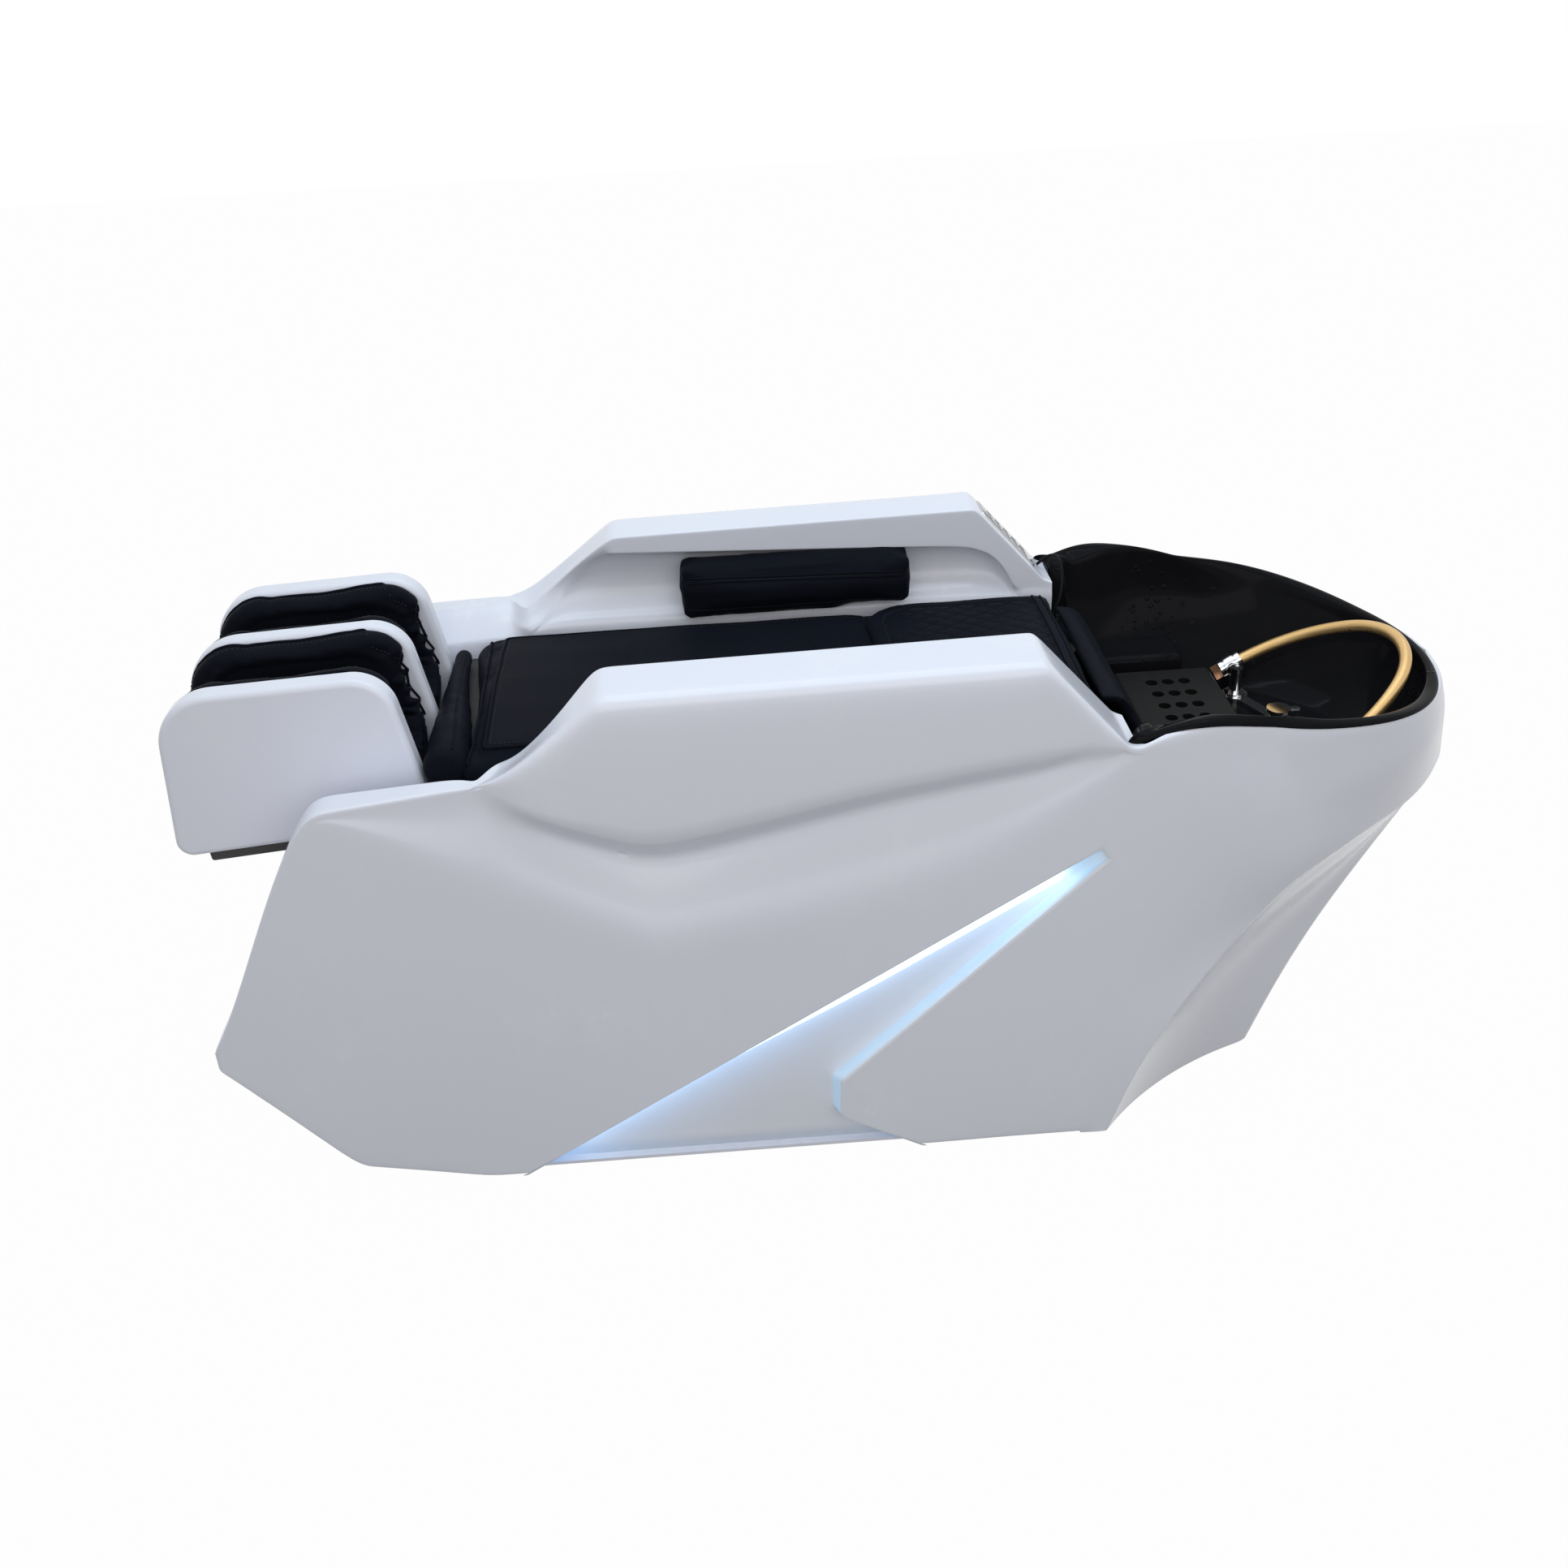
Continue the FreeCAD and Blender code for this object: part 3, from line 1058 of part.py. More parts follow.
def make_services():
    tray_top = "(base_z + tube_high + tray_thick)"
    keep("service_tray", box("tray", "tray_rear_x - tray_front_x", "2 * tray_half", "tray_thick",
                             "tray_front_x", "-tray_half", "base_z + tube_high"))
    shell = box("tank_outer", "tank_long", "2 * tank_half", "tank_high", "tank_x", "-tank_half", tray_top)
    hollow = box("tank_inner", "tank_long - 2 * tank_wall", "2 * (tank_half - tank_wall)", "tank_high",
                 "tank_x + tank_wall", "-tank_half + tank_wall", f"{tray_top} + tank_wall")
    keep("water_tank", cut("tank", shell, hollow))
    keep("tank_lid", box("lid", "tank_long", "2 * tank_half", "lid_thick", "tank_x", "-tank_half",
                         f"{tray_top} + tank_high + fit_gap"))
    foot = box("pump_foot", "pump_long * 0.6", "pump_round", "pump_round", "pump_x", "pump_y - pump_round / 2",
               tray_top)
    motor = rod("pump_motor", "pump_round", "pump_long", "pump_x", "pump_y", f"{tray_top} + pump_round", "x")
    keep("circulation_pump", fuse("pump", foot, motor))
    keep("water_heater", rod("heater", "heater_round", "heater_high", "heater_x", "heater_y", tray_top))
    cup = rod("filter_cup", "filter_round", "filter_high", "filter_x", "filter_y", tray_top)
    cap = rod("filter_cap", "filter_round + 5", 22, "filter_x", "filter_y", f"{tray_top} + filter_high")
    keep("water_filter", fuse("filter", cup, cap))
    keep("control_box", box("controller", "box_long", "box_wide", "box_high", "box_x", "box_y", tray_top))
    keep("power_inlet", box("inlet", "inlet_long", "inlet_wide", "inlet_high",
                            "tray_rear_x - inlet_long", "-tray_half", tray_top))
    valves = [rod(f"valve_{i}", "valve_round", "valve_long", "base_rear_x + fit_gap", f"{s} * valve_y",
                  "base_z + tube_high / 2", "x") for i, s in enumerate((-1, 1))]
    keep("water_inlets", group("inlets", *valves))
    top = size("base_z") + size("tube_high") + size("tray_thick") + size("heater_high")
    start = Vector(size("heater_x"), size("heater_y"), top + size("fit_gap"))
    end = Vector(size("arch_x"), size("post_y"),
                 size("bowl_floor_z") - size("bowl_thick") - size("fit_gap"))
    points = [start, Vector(start.x, start.y, size("hose_run_z")),
              Vector(end.x, end.y, size("hose_run_z")), end]
    feature("supply_hose", pipe(points, (60, 60), size("hose_round")))


# Route of the panel's lead: out of the slope, over the arm and down beside the seat
CORD_ROUTE = (
    (380.8, 298, 719.6), (396.5, 298, 733.8), (409, 283, 743), (417, 262, 733), (415, 246, 707),
    (411, 236, 682), (402, 234, 664), (402, 234, 644.5),
)


def make_cord():
    points = [Vector(*p) for p in CORD_ROUTE]
    runs = [(b - a).Length for a, b in zip(points, points[1:])]
    radii = []
    for index in range(1, len(points) - 1):
        back = (points[index - 1] - points[index]).normalize()
        ahead = (points[index + 1] - points[index]).normalize()
        turn = math.pi - back.getAngle(ahead)
        radii.append(0.45 * min(runs[index - 1], runs[index]) / math.tan(turn / 2))
    print("lead radii", [round(r, 1) for r in radii], "runs", [round(r, 1) for r in runs])
    tube = pipe(points, radii, size("cord_round"))
    print("lead volume over section", round(tube.Volume / (math.pi * size("cord_round") ** 2), 1))
    feature("panel_lead", tube)
    last = points[-1]
    deck_top = size("rail_top_z") + size("deck_thick")
    gland = Part.makeCylinder(size("gland_round"), size("gland_long"), Vector(last.x, last.y, deck_top))
    feature("lead_gland", gland)


for make in (
    make_shells, make_control_panel, make_lights, make_apron, make_frame, make_seat, make_neck_flap,
    make_cuffs, make_basin, make_drain, make_head_pad, make_arch, make_posts, make_tap,
    make_leg_walls, make_leg_pads, make_leg_plate, make_leg_hinge, make_hinge_brackets,
    make_actuator, make_massage, make_services, make_cord,
):
    make()
doc.recompute()

faults = [thing.Label for thing in doc.Objects if {"Invalid", "Error"} & set(thing.State)]
for label, piece in pieces.items():
    if piece.Shape.isNull() or not piece.Shape.isValid() or not piece.Shape.Solids:
        faults.append(label)
if faults:
    raise RuntimeError(f"failed pieces: {faults}")

os.makedirs("parts", exist_ok=True)
for label, piece in pieces.items():
    piece.Shape.exportStep(f"parts/{label}.step")
    box_of = piece.Shape.BoundBox
    print(f"{label}: {len(piece.Shape.Solids)} solids, {piece.Shape.Volume / 1000:.0f} cm3, "
          f"x {box_of.XMin:.0f}..{box_of.XMax:.0f} y {box_of.YMin:.0f}..{box_of.YMax:.0f} "
          f"z {box_of.ZMin:.0f}..{box_of.ZMax:.0f}")
print(len(pieces), "pieces")
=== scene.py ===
# %% [markdown]
# # A head spa unit
# The object is a salon lounger: a white moulded body, a black wash basin at the head end, black
# leather cushions and a motorised leg rest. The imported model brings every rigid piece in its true
# place, in metres. This lesson dresses it: soft, rounded mouldings replace the plain solids,
# the cushions are blown up as cloth, and every surface gets a finish made of nodes.

import json
import math

import bmesh
import bpy
from mathutils import Matrix, Vector, noise
from mathutils.bvhtree import BVHTree


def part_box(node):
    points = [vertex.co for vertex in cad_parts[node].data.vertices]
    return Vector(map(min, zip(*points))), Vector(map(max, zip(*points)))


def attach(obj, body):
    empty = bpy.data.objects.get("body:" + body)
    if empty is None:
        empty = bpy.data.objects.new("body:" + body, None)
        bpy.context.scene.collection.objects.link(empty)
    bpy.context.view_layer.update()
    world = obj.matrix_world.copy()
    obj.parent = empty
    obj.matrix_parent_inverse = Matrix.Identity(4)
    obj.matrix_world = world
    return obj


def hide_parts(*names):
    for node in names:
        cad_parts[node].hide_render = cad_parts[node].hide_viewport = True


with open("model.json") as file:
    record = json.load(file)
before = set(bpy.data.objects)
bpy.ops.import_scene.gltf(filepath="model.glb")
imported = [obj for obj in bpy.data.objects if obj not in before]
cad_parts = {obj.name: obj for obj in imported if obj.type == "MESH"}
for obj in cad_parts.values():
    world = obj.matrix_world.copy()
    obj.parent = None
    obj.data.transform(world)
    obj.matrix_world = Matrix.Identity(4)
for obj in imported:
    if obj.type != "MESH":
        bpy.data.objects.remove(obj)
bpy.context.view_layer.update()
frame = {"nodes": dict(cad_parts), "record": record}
nodes = frame["nodes"]
scene = bpy.context.scene
scene.view_settings.view_transform = "Standard"
MM = 0.001
SIDES = (("left", -1), ("right", 1))

# %% [markdown]
# ## Camera
# The photograph was taken from above the left side with a medium lens. The place and the three
# angles came from matching mirrored corners of the two arms, so the camera is set by numbers
# instead of by eye. Roll is small but real: the floor line tips a little.

# %% Camera
EYE = Vector((-0.173, -2.301, 1.8175))
YAW = -0.03738
PITCH = 0.5239
ROLL = -0.04915
FOCAL_PIXELS = 2000
IMAGE_PIXELS = 1932

flat_right = Vector((math.cos(YAW), math.sin(YAW), 0))
ahead = Vector((-math.sin(YAW) * math.cos(PITCH), math.cos(YAW) * math.cos(PITCH), -math.sin(PITCH)))
flat_up = flat_right.cross(ahead)
camera_right = flat_right * math.cos(ROLL) + flat_up * math.sin(ROLL)
camera_up = flat_up * math.cos(ROLL) - flat_right * math.sin(ROLL)
lens = bpy.data.cameras.new("photo_camera")
lens.lens = FOCAL_PIXELS / IMAGE_PIXELS * lens.sensor_width
camera = bpy.data.objects.new("photo_camera", lens)
turn = Matrix((camera_right, camera_up, -ahead)).transposed().to_4x4()
camera.matrix_world = Matrix.Translation(EYE) @ turn
scene.collection.objects.link(camera)
scene.camera = camera
print("lens", round(lens.lens, 2), "mm")

# %% [markdown]
# ## Shader sums
# Writing node trees by hand is slow to read. A small class wraps a socket, so that a sum such as
# `0.2 + 0.1 * speckle` adds its own Math nodes. One method makes every other node.

# %% Shader helpers


class Link:
    """A socket of a finish that can be used in sums."""

    def __init__(self, finish, socket):
        self.finish = finish
        self.socket = socket

    def sum(self, operation, first, second):
        return self.finish.node("ShaderNodeMath", {"operation": operation}, {0: first, 1: second})

    def __add__(self, other):
        return self.sum("ADD", self, other)

    def __radd__(self, other):
        return self.sum("ADD", other, self)

    def __sub__(self, other):
        return self.sum("SUBTRACT", self, other)

    def __mul__(self, other):
        return self.sum("MULTIPLY", self, other)

    def __rmul__(self, other):
        return self.sum("MULTIPLY", other, self)


class Finish:
    """A material whose nodes are written as sums."""

    def __init__(self, name, **constants):
        self.material = bpy.data.materials.new(name)
        self.material.use_nodes = True
        self.tree = self.material.node_tree
        self.shader = self.tree.nodes["Principled BSDF"]
        for key, value in constants.items():
            self.shader.inputs[key.replace("_", " ").title().replace("Ior", "IOR")].default_value = value

    def feed(self, socket, value):
        if isinstance(value, Link):
            self.tree.links.new(value.socket, socket)
        else:
            socket.default_value = value

    def node(self, kind, settings=None, sockets=None, out=0):
        made = self.tree.nodes.new(kind)
        for key, value in (settings or {}).items():
            if key == "stops":
                ramp = made.color_ramp
                while len(ramp.elements) < len(value):
                    ramp.elements.new(1)
                for element, (place, shade) in zip(ramp.elements, value):
                    element.position = place
                    element.color = (shade, shade, shade, 1)
            else:
                setattr(made, key, value)
        for key, value in (sockets or {}).items():
            self.feed(made.inputs[key], value)
        return Link(self, made.outputs[out])

    def place(self):
        """Where a point is on the object, in metres."""
        return self.node("ShaderNodeTexCoord", out="Object")

    def axes(self, place):
        """The three coordinates of a place."""
        split = self.node("ShaderNodeSeparateXYZ", None, {0: place})
        return [Link(self, socket) for socket in split.socket.node.outputs]

    def speckle(self, place, scale, detail=2.0, roughness=0.5):
        return self.node("ShaderNodeTexNoise", None, {
            "Vector": place, "Scale": scale, "Detail": detail, "Roughness": roughness})

    def cells(self, place, scale, feature="F1"):
        return self.node("ShaderNodeTexVoronoi", {"feature": feature}, {"Vector": place, "Scale": scale})

    def ramp(self, value, *stops):
        return self.node("ShaderNodeValToRGB", {"stops": stops}, {0: value})

    def blend(self, share, first, second):
        return self.node("ShaderNodeMix", {"data_type": "RGBA"}, {0: share, 6: first, 7: second}, 2)

    def stretch(self, place, x, y, z):
        return self.node("ShaderNodeVectorMath", {"operation": "MULTIPLY"}, {0: place, 1: (x, y, z)})

    def bump(self, height, distance, strength=1.0):
        return self.node("ShaderNodeBump", None, {
            "Strength": strength, "Distance": distance, "Height": height})

    def wear(self, **sockets):
        """Feed the sockets that change over the surface."""
        for key, value in sockets.items():
            self.feed(self.shader.inputs[key.replace("_", " ").title()], value)
        return self


def colour(red, green, blue):
    """A full opaque colour for a socket."""
    return (red, green, blue, 1)


print("shader helpers ready")

# %% [markdown]
# ## The panel's lead
# A thin black lead leaves the control panel at the foot of the right arm's slope, loops over the
# edge and drops beside the seat. A free cord is one smooth line, so it is a NURBS curve whose
# control points are the route's own points, with a round bevel as its sheath.

# %% Lead
LEAD_ROUTE = (
    (380.8, 298, 719.6), (396.5, 298, 733.8), (409, 283, 743), (417, 262, 733), (415, 246, 707),
    (411, 236, 682), (402, 234, 664), (402, 234, 644.5),
)
LEAD_ROUND = 2.5


def round_bar(name, points, radius):
    """A smooth round cord along points in millimetres.

    The points carry the radius, because a curve's box is measured with it.
    """
    curve = bpy.data.curves.new(name, "CURVE")
    curve.dimensions = "3D"
    curve.bevel_depth = 1.0
    curve.bevel_resolution = 4
    curve.use_fill_caps = True
    line = curve.splines.new("NURBS")
    line.points.add(len(points) - 1)
    for point, place in zip(line.points, points):
        point.co = (*(Vector(place) * MM), 1)
        point.radius = radius * MM
    line.order_u = 3
    line.use_endpoint_u = True
    line.resolution_u = 8
    bar = bpy.data.objects.new(name, curve)
    scene.collection.objects.link(bar)
    return bar


lead = round_bar("panel_lead_sheath", LEAD_ROUTE, LEAD_ROUND)
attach(lead, "base")
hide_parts("panel_lead")
print("lead of", len(LEAD_ROUTE), "points")

# %% [markdown]
# ## Stage and light
# The photograph stands on pure white. The floor and the world look white to the camera and to
# reflections, and give the object a plain soft light for everything else. A wide lamp above makes
# the tops brighter than the sides, a window in front lights the flank, and two thin tubes give
# the glossy mouldings their glints.

# %% Stage
FLOOR_HALF = 9.0
AMBIENT = 0.46
FLOOR_GLOW = 0.985


def seen_directly(finish):
    """1 for a camera, mirror or glass ray, and 0 for light that bounces."""
    rays = finish.node("ShaderNodeLightPath").socket.node.outputs
    return [Link(finish, rays[name]) for name in ("Is Camera Ray", "Is Glossy Ray", "Is Transmission Ray")]


floor_mesh = bpy.data.meshes.new("studio_floor")
floor_corners = [(-FLOOR_HALF, -FLOOR_HALF, -0.001), (FLOOR_HALF, -FLOOR_HALF, -0.001),
                 (FLOOR_HALF, FLOOR_HALF, -0.001), (-FLOOR_HALF, FLOOR_HALF, -0.001)]
floor_mesh.from_pydata(floor_corners, [], [(0, 1, 2, 3)])
floor = bpy.data.objects.new("studio_floor", floor_mesh)
scene.collection.objects.link(floor)

paper = Finish("studio_paper", base_color=colour(0.17, 0.17, 0.175), roughness=0.9)
camera_ray, glossy_ray, glass_ray = seen_directly(paper)
glow = paper.node("ShaderNodeEmission", None, {"Color": colour(1, 1, 1), "Strength": 1.0})
share = FLOOR_GLOW * (camera_ray + glossy_ray + glass_ray)
mixed = paper.node("ShaderNodeMixShader", None, {
    0: share, 1: Link(paper, paper.shader.outputs[0]), 2: glow})
paper.feed(paper.tree.nodes["Material Output"].inputs["Surface"], mixed)
floor_mesh.materials.append(paper.material)

world = bpy.data.worlds.new("studio_world")
scene.world = world
world.use_nodes = True
sky = Finish("studio_sky_maths")
sky.tree = world.node_tree
camera_ray, glossy_ray, glass_ray = seen_directly(sky)
seen = camera_ray + glossy_ray + glass_ray
direct = sky.node("ShaderNodeMath", {"operation": "MINIMUM"}, {0: seen, 1: 1.0})
sky.feed(world.node_tree.nodes["Background"].inputs["Strength"], AMBIENT + (1 - AMBIENT) * direct)
world.node_tree.nodes["Background"].inputs["Color"].default_value = colour(1, 1, 1)
bpy.data.materials.remove(sky.material)


def area_lamp(name, place, target, wide, long, watts, tint):
    """A rectangular lamp that faces its target, in metres."""
    lamp = bpy.data.lights.new(name, "AREA")
    lamp.color = tint
    lamp.shape = "RECTANGLE"
    lamp.size = wide
    lamp.size_y = long
    lamp.energy = watts
    hung = bpy.data.objects.new(name, lamp)
    hung.location = place
    hung.rotation_euler = (Vector(target) - Vector(place)).to_track_quat("-Z", "Y").to_euler()
    scene.collection.objects.link(hung)
    return hung


area_lamp("window_lamp", (0.1, -3.2, 2.3), (0, -0.3, 0.45), 3.4, 1.6, 35.5, (1.0, 0.985, 0.965))
area_lamp("ceiling_lamp", (0.1, 0.1, 3.3), (0.1, 0, 0.5), 3.0, 1.8, 23, (0.72, 0.88, 1.0))
for far_side in (-0.55, 0.95):
    area_lamp("tube_lamp", (0.3, far_side, 3.0), (0.3, 0.1, 0.5), 2.4, 0.08, 6, (0.76, 0.90, 1.0))
print("stage ready, ambient", AMBIENT)

# %% [markdown]
# ## Finishes
# The body is glass fibre with a polished white gel coat: clean, slightly blue, with faint wipe
# marks that only show in the gloss. The basin is the same moulding in black. Leather, rubber and
# metals follow. A finish is one function, so each can be tuned alone.

# %% Finishes of the mouldings


def gel_coat():
    """Polished white with faint wipe marks and a little orange peel."""
    coat = Finish("white_gel_coat", roughness=0.2, specular_ior_level=0.25, coat_weight=0.12,
                  coat_roughness=0.05)
    place = coat.place()
    cloud = coat.speckle(place, 2.2, 3.0)
    wipe = coat.speckle(coat.stretch(place, 9, 9, 5), 1.0, 5.0, 0.65)
    marks = coat.ramp(wipe, (0.56, 0.0), (0.72, 1.0))
    tint = coat.blend(cloud, colour(0.79, 0.812, 0.905), colour(0.83, 0.85, 0.935))
    peel = coat.speckle(place, 190, 2.0)
    return coat.wear(
        base_color=coat.blend(0.22 * marks, tint, colour(0.93, 0.93, 0.94)),
        roughness=0.15 + 0.12 * wipe + 0.06 * marks,
        normal=coat.bump(peel, 0.00025, 0.25),
    ).material


def basin_black():
    """The same moulding in black, with a water film and a few drops."""
    gloss = Finish("basin_black", roughness=0.08, specular_ior_level=0.022)
    place = gloss.place()
    film = gloss.speckle(place, 14, 4.0, 0.6)
    drops = gloss.ramp(gloss.cells(place, 62), (0.0, 1.0), (0.2, 0.85), (0.3, 0.0))
    patch = gloss.ramp(gloss.speckle(place, 6, 2.0), (0.57, 0.0), (0.66, 1.0))
    wet = drops * patch
    return gloss.wear(
        base_color=gloss.blend(film, colour(0.006, 0.006, 0.007), colour(0.011, 0.011, 0.013)),
        roughness=0.05 + 0.09 * film,
        normal=gloss.bump(wet, 0.0014),
    ).material


white_coat = gel_coat()
black_coat = basin_black()
print("moulding finishes:", white_coat.name, black_coat.name)

# %% Finishes of the soft parts


def leather(name, tone, pebble, sheen):
    """Black upholstery leather: pebbled grain, fine creases and a soft polish."""
    hide = Finish(name, roughness=0.5, specular_ior_level=0.012)
    place = hide.place()
    grain = hide.cells(place, pebble, "DISTANCE_TO_EDGE")
    pits = hide.ramp(grain, (0.0, 0.0), (0.14, 1.0))
    crease = hide.speckle(hide.stretch(place, 34, 60, 60), 1.0, 3.0, 0.6)
    wide = hide.speckle(place, 7, 3.0)
    dark = colour(tone, tone * 1.2, tone * 1.9)
    pale = colour(tone * 1.8, tone * 2.1, tone * 3.2)
    return hide.wear(
        base_color=hide.blend(0.55 * wide + 0.2 * pits, dark, pale),
        roughness=sheen + 0.16 * wide - 0.08 * pits,
        normal=hide.bump(0.65 * pits + 0.5 * crease, 0.0007, 0.6),
    ).material


def rubber(name, tone, rough):
    """Dull black rubber with a little dust."""
    sheet = Finish(name, roughness=rough, specular_ior_level=0.06)
    place = sheet.place()
    dust = sheet.speckle(place, 40, 4.0, 0.6)
    skin = sheet.speckle(place, 420, 2.0)
    return sheet.wear(
        base_color=sheet.blend(dust, colour(tone, tone, tone), colour(tone * 1.8, tone * 1.8, tone * 1.9)),
        roughness=rough - 0.1 + 0.2 * dust,
        normal=sheet.bump(skin, 0.0003, 0.4),
    ).material


black_hide = leather("seat_leather", 0.0062, 640, 0.36)
cuff_hide = leather("cuff_leather", 0.006, 700, 0.35)
soft_rubber = rubber("black_rubber", 0.008, 0.42)
print("soft finishes:", black_hide.name, cuff_hide.name, soft_rubber.name)

# %% Finishes of metal, plastic and light


def metal(name, tint, rough, scale, depth):
    """A metal with a fine rubbed grain."""
    bar = Finish(name, metallic=1.0, roughness=rough)
    place = bar.place()
    grain = bar.speckle(place, scale, 3.0)
    tarnish = bar.speckle(place, 30, 4.0)
    dull = tuple(value * 0.78 for value in tint[:3]) + (1,)
    return bar.wear(
        base_color=bar.blend(tarnish, tint, dull),
        roughness=rough + 0.14 * (tarnish - 0.5) + 0.06 * grain,
        normal=bar.bump(grain, depth, 0.3),
    ).material


def plastic(name, tint, rough, scale=300):
    """A moulded or painted surface with a fine texture."""
    shell = Finish(name, roughness=rough)
    place = shell.place()
    texture = shell.speckle(place, scale, 2.0)
    cloud = shell.speckle(place, 9, 3.0)
    darker = tuple(value * 0.84 for value in tint[:3]) + (1,)
    return shell.wear(
        base_color=shell.blend(cloud, tint, darker),
        roughness=rough + 0.12 * (cloud - 0.5),
        normal=shell.bump(texture, 0.0002, 0.5),
    ).material


def braided_gold():
    """A gold hose with a diagonal weave."""
    hose = Finish("gold_hose", metallic=0.85, roughness=0.32)
    place = hose.place()
    weave = hose.node("ShaderNodeTexWave", {"wave_type": "BANDS", "bands_direction": "DIAGONAL"}, {
        "Vector": place, "Scale": 260.0, "Distortion": 0.6}, "Fac")
    tone = hose.speckle(place, 25, 3.0)
    return hose.wear(
        base_color=hose.blend(tone, colour(0.80, 0.55, 0.25), colour(0.66, 0.42, 0.17)),
        roughness=0.26 + 0.14 * weave,
        normal=hose.bump(weave, 0.0004, 0.5),
    ).material


def lit_strip():
    """A lamp's cover, with its light sources showing as brighter bands."""
    strip = Finish("light_strip", roughness=0.4, emission_strength=1.6)
    dots = strip.node("ShaderNodeTexWave", {"bands_direction": "X"}, {
        "Vector": strip.place(), "Scale": 19.0}, "Fac")
    return strip.wear(
        base_color=strip.blend(dots, colour(0.7, 0.85, 0.95), colour(0.9, 0.97, 1.0)),
        emission_color=strip.blend(dots, colour(0.50, 0.78, 1.0), colour(0.85, 0.96, 1.0)),
    ).material


def screen_glass():
    """Dark touch glass with smears."""
    glass = Finish("panel_glass", roughness=0.08, coat_weight=0.6)
    place = glass.place()
    smear = glass.speckle(place, 45, 4.0)
    return glass.wear(
        base_color=glass.blend(smear, colour(0.012, 0.016, 0.014), colour(0.03, 0.04, 0.034)),
        roughness=0.05 + 0.12 * smear,
    ).material


def ply_board():
    """Plywood with a grain, near black as painted shade for the dark gap between the front roll and the
    seat.
    """
    board = Finish("deck_board", roughness=0.6)
    place = board.place()
    grain = board.speckle(board.stretch(place, 6, 60, 60), 1.0, 5.0)
    return board.wear(
        base_color=board.blend(grain, colour(0.010, 0.010, 0.012), colour(0.022, 0.022, 0.026)),
        roughness=0.5 + 0.2 * grain,
        normal=board.bump(grain, 0.0006, 0.5),
    ).material


SLOT_FINISH = {
    "white_shell": white_coat,
    "black_basin": black_coat,
    "black_leather": black_hide,
    "cuff_leather": cuff_hide,
    "black_rubber": soft_rubber,
    "frame_paint": plastic("frame_paint", colour(0.035, 0.037, 0.04), 0.42, 500),
    "bright_steel": metal("bright_steel", colour(0.62, 0.63, 0.65), 0.28, 900, 0.00015),
    "chrome": metal("chrome", colour(0.80, 0.81, 0.83), 0.09, 600, 0.00005),
    "gold_tube": braided_gold(),
    "copper_nut": metal("copper_nut", colour(0.78, 0.42, 0.24), 0.3, 700, 0.0001),
    "deck_board": ply_board(),
    "black_plastic": plastic("black_plastic", colour(0.014, 0.014, 0.015), 0.4),
    "grey_plastic": plastic("grey_plastic", colour(0.33, 0.34, 0.36), 0.45),
    "light_strip": lit_strip(),
    "panel_glass": screen_glass(),
    "alu": metal("brushed_alu", colour(0.58, 0.59, 0.61), 0.32, 800, 0.0002),
}
for part in frame["record"]["subparts"]:
    node = nodes[part["node"]]
    node.data.materials.clear()
    node.data.materials.append(SLOT_FINISH[part["material_slot"]])
lead.data.materials.append(soft_rubber)

# %% [markdown]
# ## Side shells
# Each side is one moulding: a flat flank with a folded hollow, a thick rounded arm with a scoop
# inside, a toe at the front and a boat-like tail. Booleans would leave hard edges, so the skin is
# a net of columns along the unit and rows down it. Every row follows a line of the real shape,
# and subdivision rounds what lies between.

# %% Lines of the shell
HALF = 355
INNER = 242
RIM_START = 398
WELL_END = 408
TOP_LINE = (
    (-972, 290), (-933, 356), (-900, 427), (-871, 490), (-842, 553), (-813, 613), (-778, 671), (-749, 695),
    (-536, 710), (-345, 838), (264, 848), (390, 706), (402, 709),
    (430, 723), (460, 730), (490, 731), (530, 727), (560, 720), (600, 711.5), (640, 704.5), (720, 695),
    (800, 681.5), (860, 669), (910, 659), (950, 655), (1005, 654),
)
UNDER_LINE = ((-972, 264), (-794, 48), (-596, 8), (1005, 8))
FOLD_LINE = (
    (-749, 700), (-534, 711), (-404, 646), (-320, 614), (-275, 608), (-179, 625), (29, 672),
    (165, 693), (326, 716), (392, 708),
)
HOLLOW_LINE = ((-749, 694), (-525, 575), (-294, 455), (-69, 487), (167, 545), (392, 690))
HOLLOW_DEPTH = ((-749, 0), (-525, 20), (-294, 48), (-69, 40), (167, 28), (300, 18), (392, 0))
ARM_LIP = ((-364, 811), (214, 786), (255, 781), (288, 768), (312, 745), (328, 712), (331, 700))
SCOOP_LOW = 686
SCOOP_DEEP = 44
SCOOP_END = 275
SCOOP_ROUND = 56
# A hull level is its height, the crease x and y, the corner x and y, the tail x and the flank's bow.
HULL_LEVELS = (
    (0, 388, 352, 682, 154, 690, -28), (147, 436, 351, 752, 125, 760, -19),
    (267, 510, 341, 864, 50, 870, -14), (330, 566, 320, 919, 40, 928, 4),
    (385, 620, 302, 945, 42, 963, 30), (480, 690, 309, 974, 66, 998, 31),
    (600, 650, 320, 942, 120, 979, 48), (679, 600, 322, 910, 153, 950, 54),
    (900, 600, 322, 910, 153, 950, 54),
)
HULL_START = Vector((330, HALF))
RIDGE_LINE = ((0.8, 385), (1, 412), (1.05, 450), (1.15, 478), (1.3, 494), (2, 492), (3, 486))
RIM_Z = 690
LEDGE_HALF = 304
LEDGE_FALL = 52
LEDGE_END = (-530, -502)
FOOT_SKEW = 38
LIP_INSET = 12
SLOT_FLOOR = (-640, 150)
LEDGE_BLEND = (-536, -456)
FOLD_BAND = 24
ARM_SOFT = 30
SLOPE_CRISP = 14
SLOPE_BLEND = (240, 290)
TAIL_TUCK = 16
TAIL_BLEND = 580


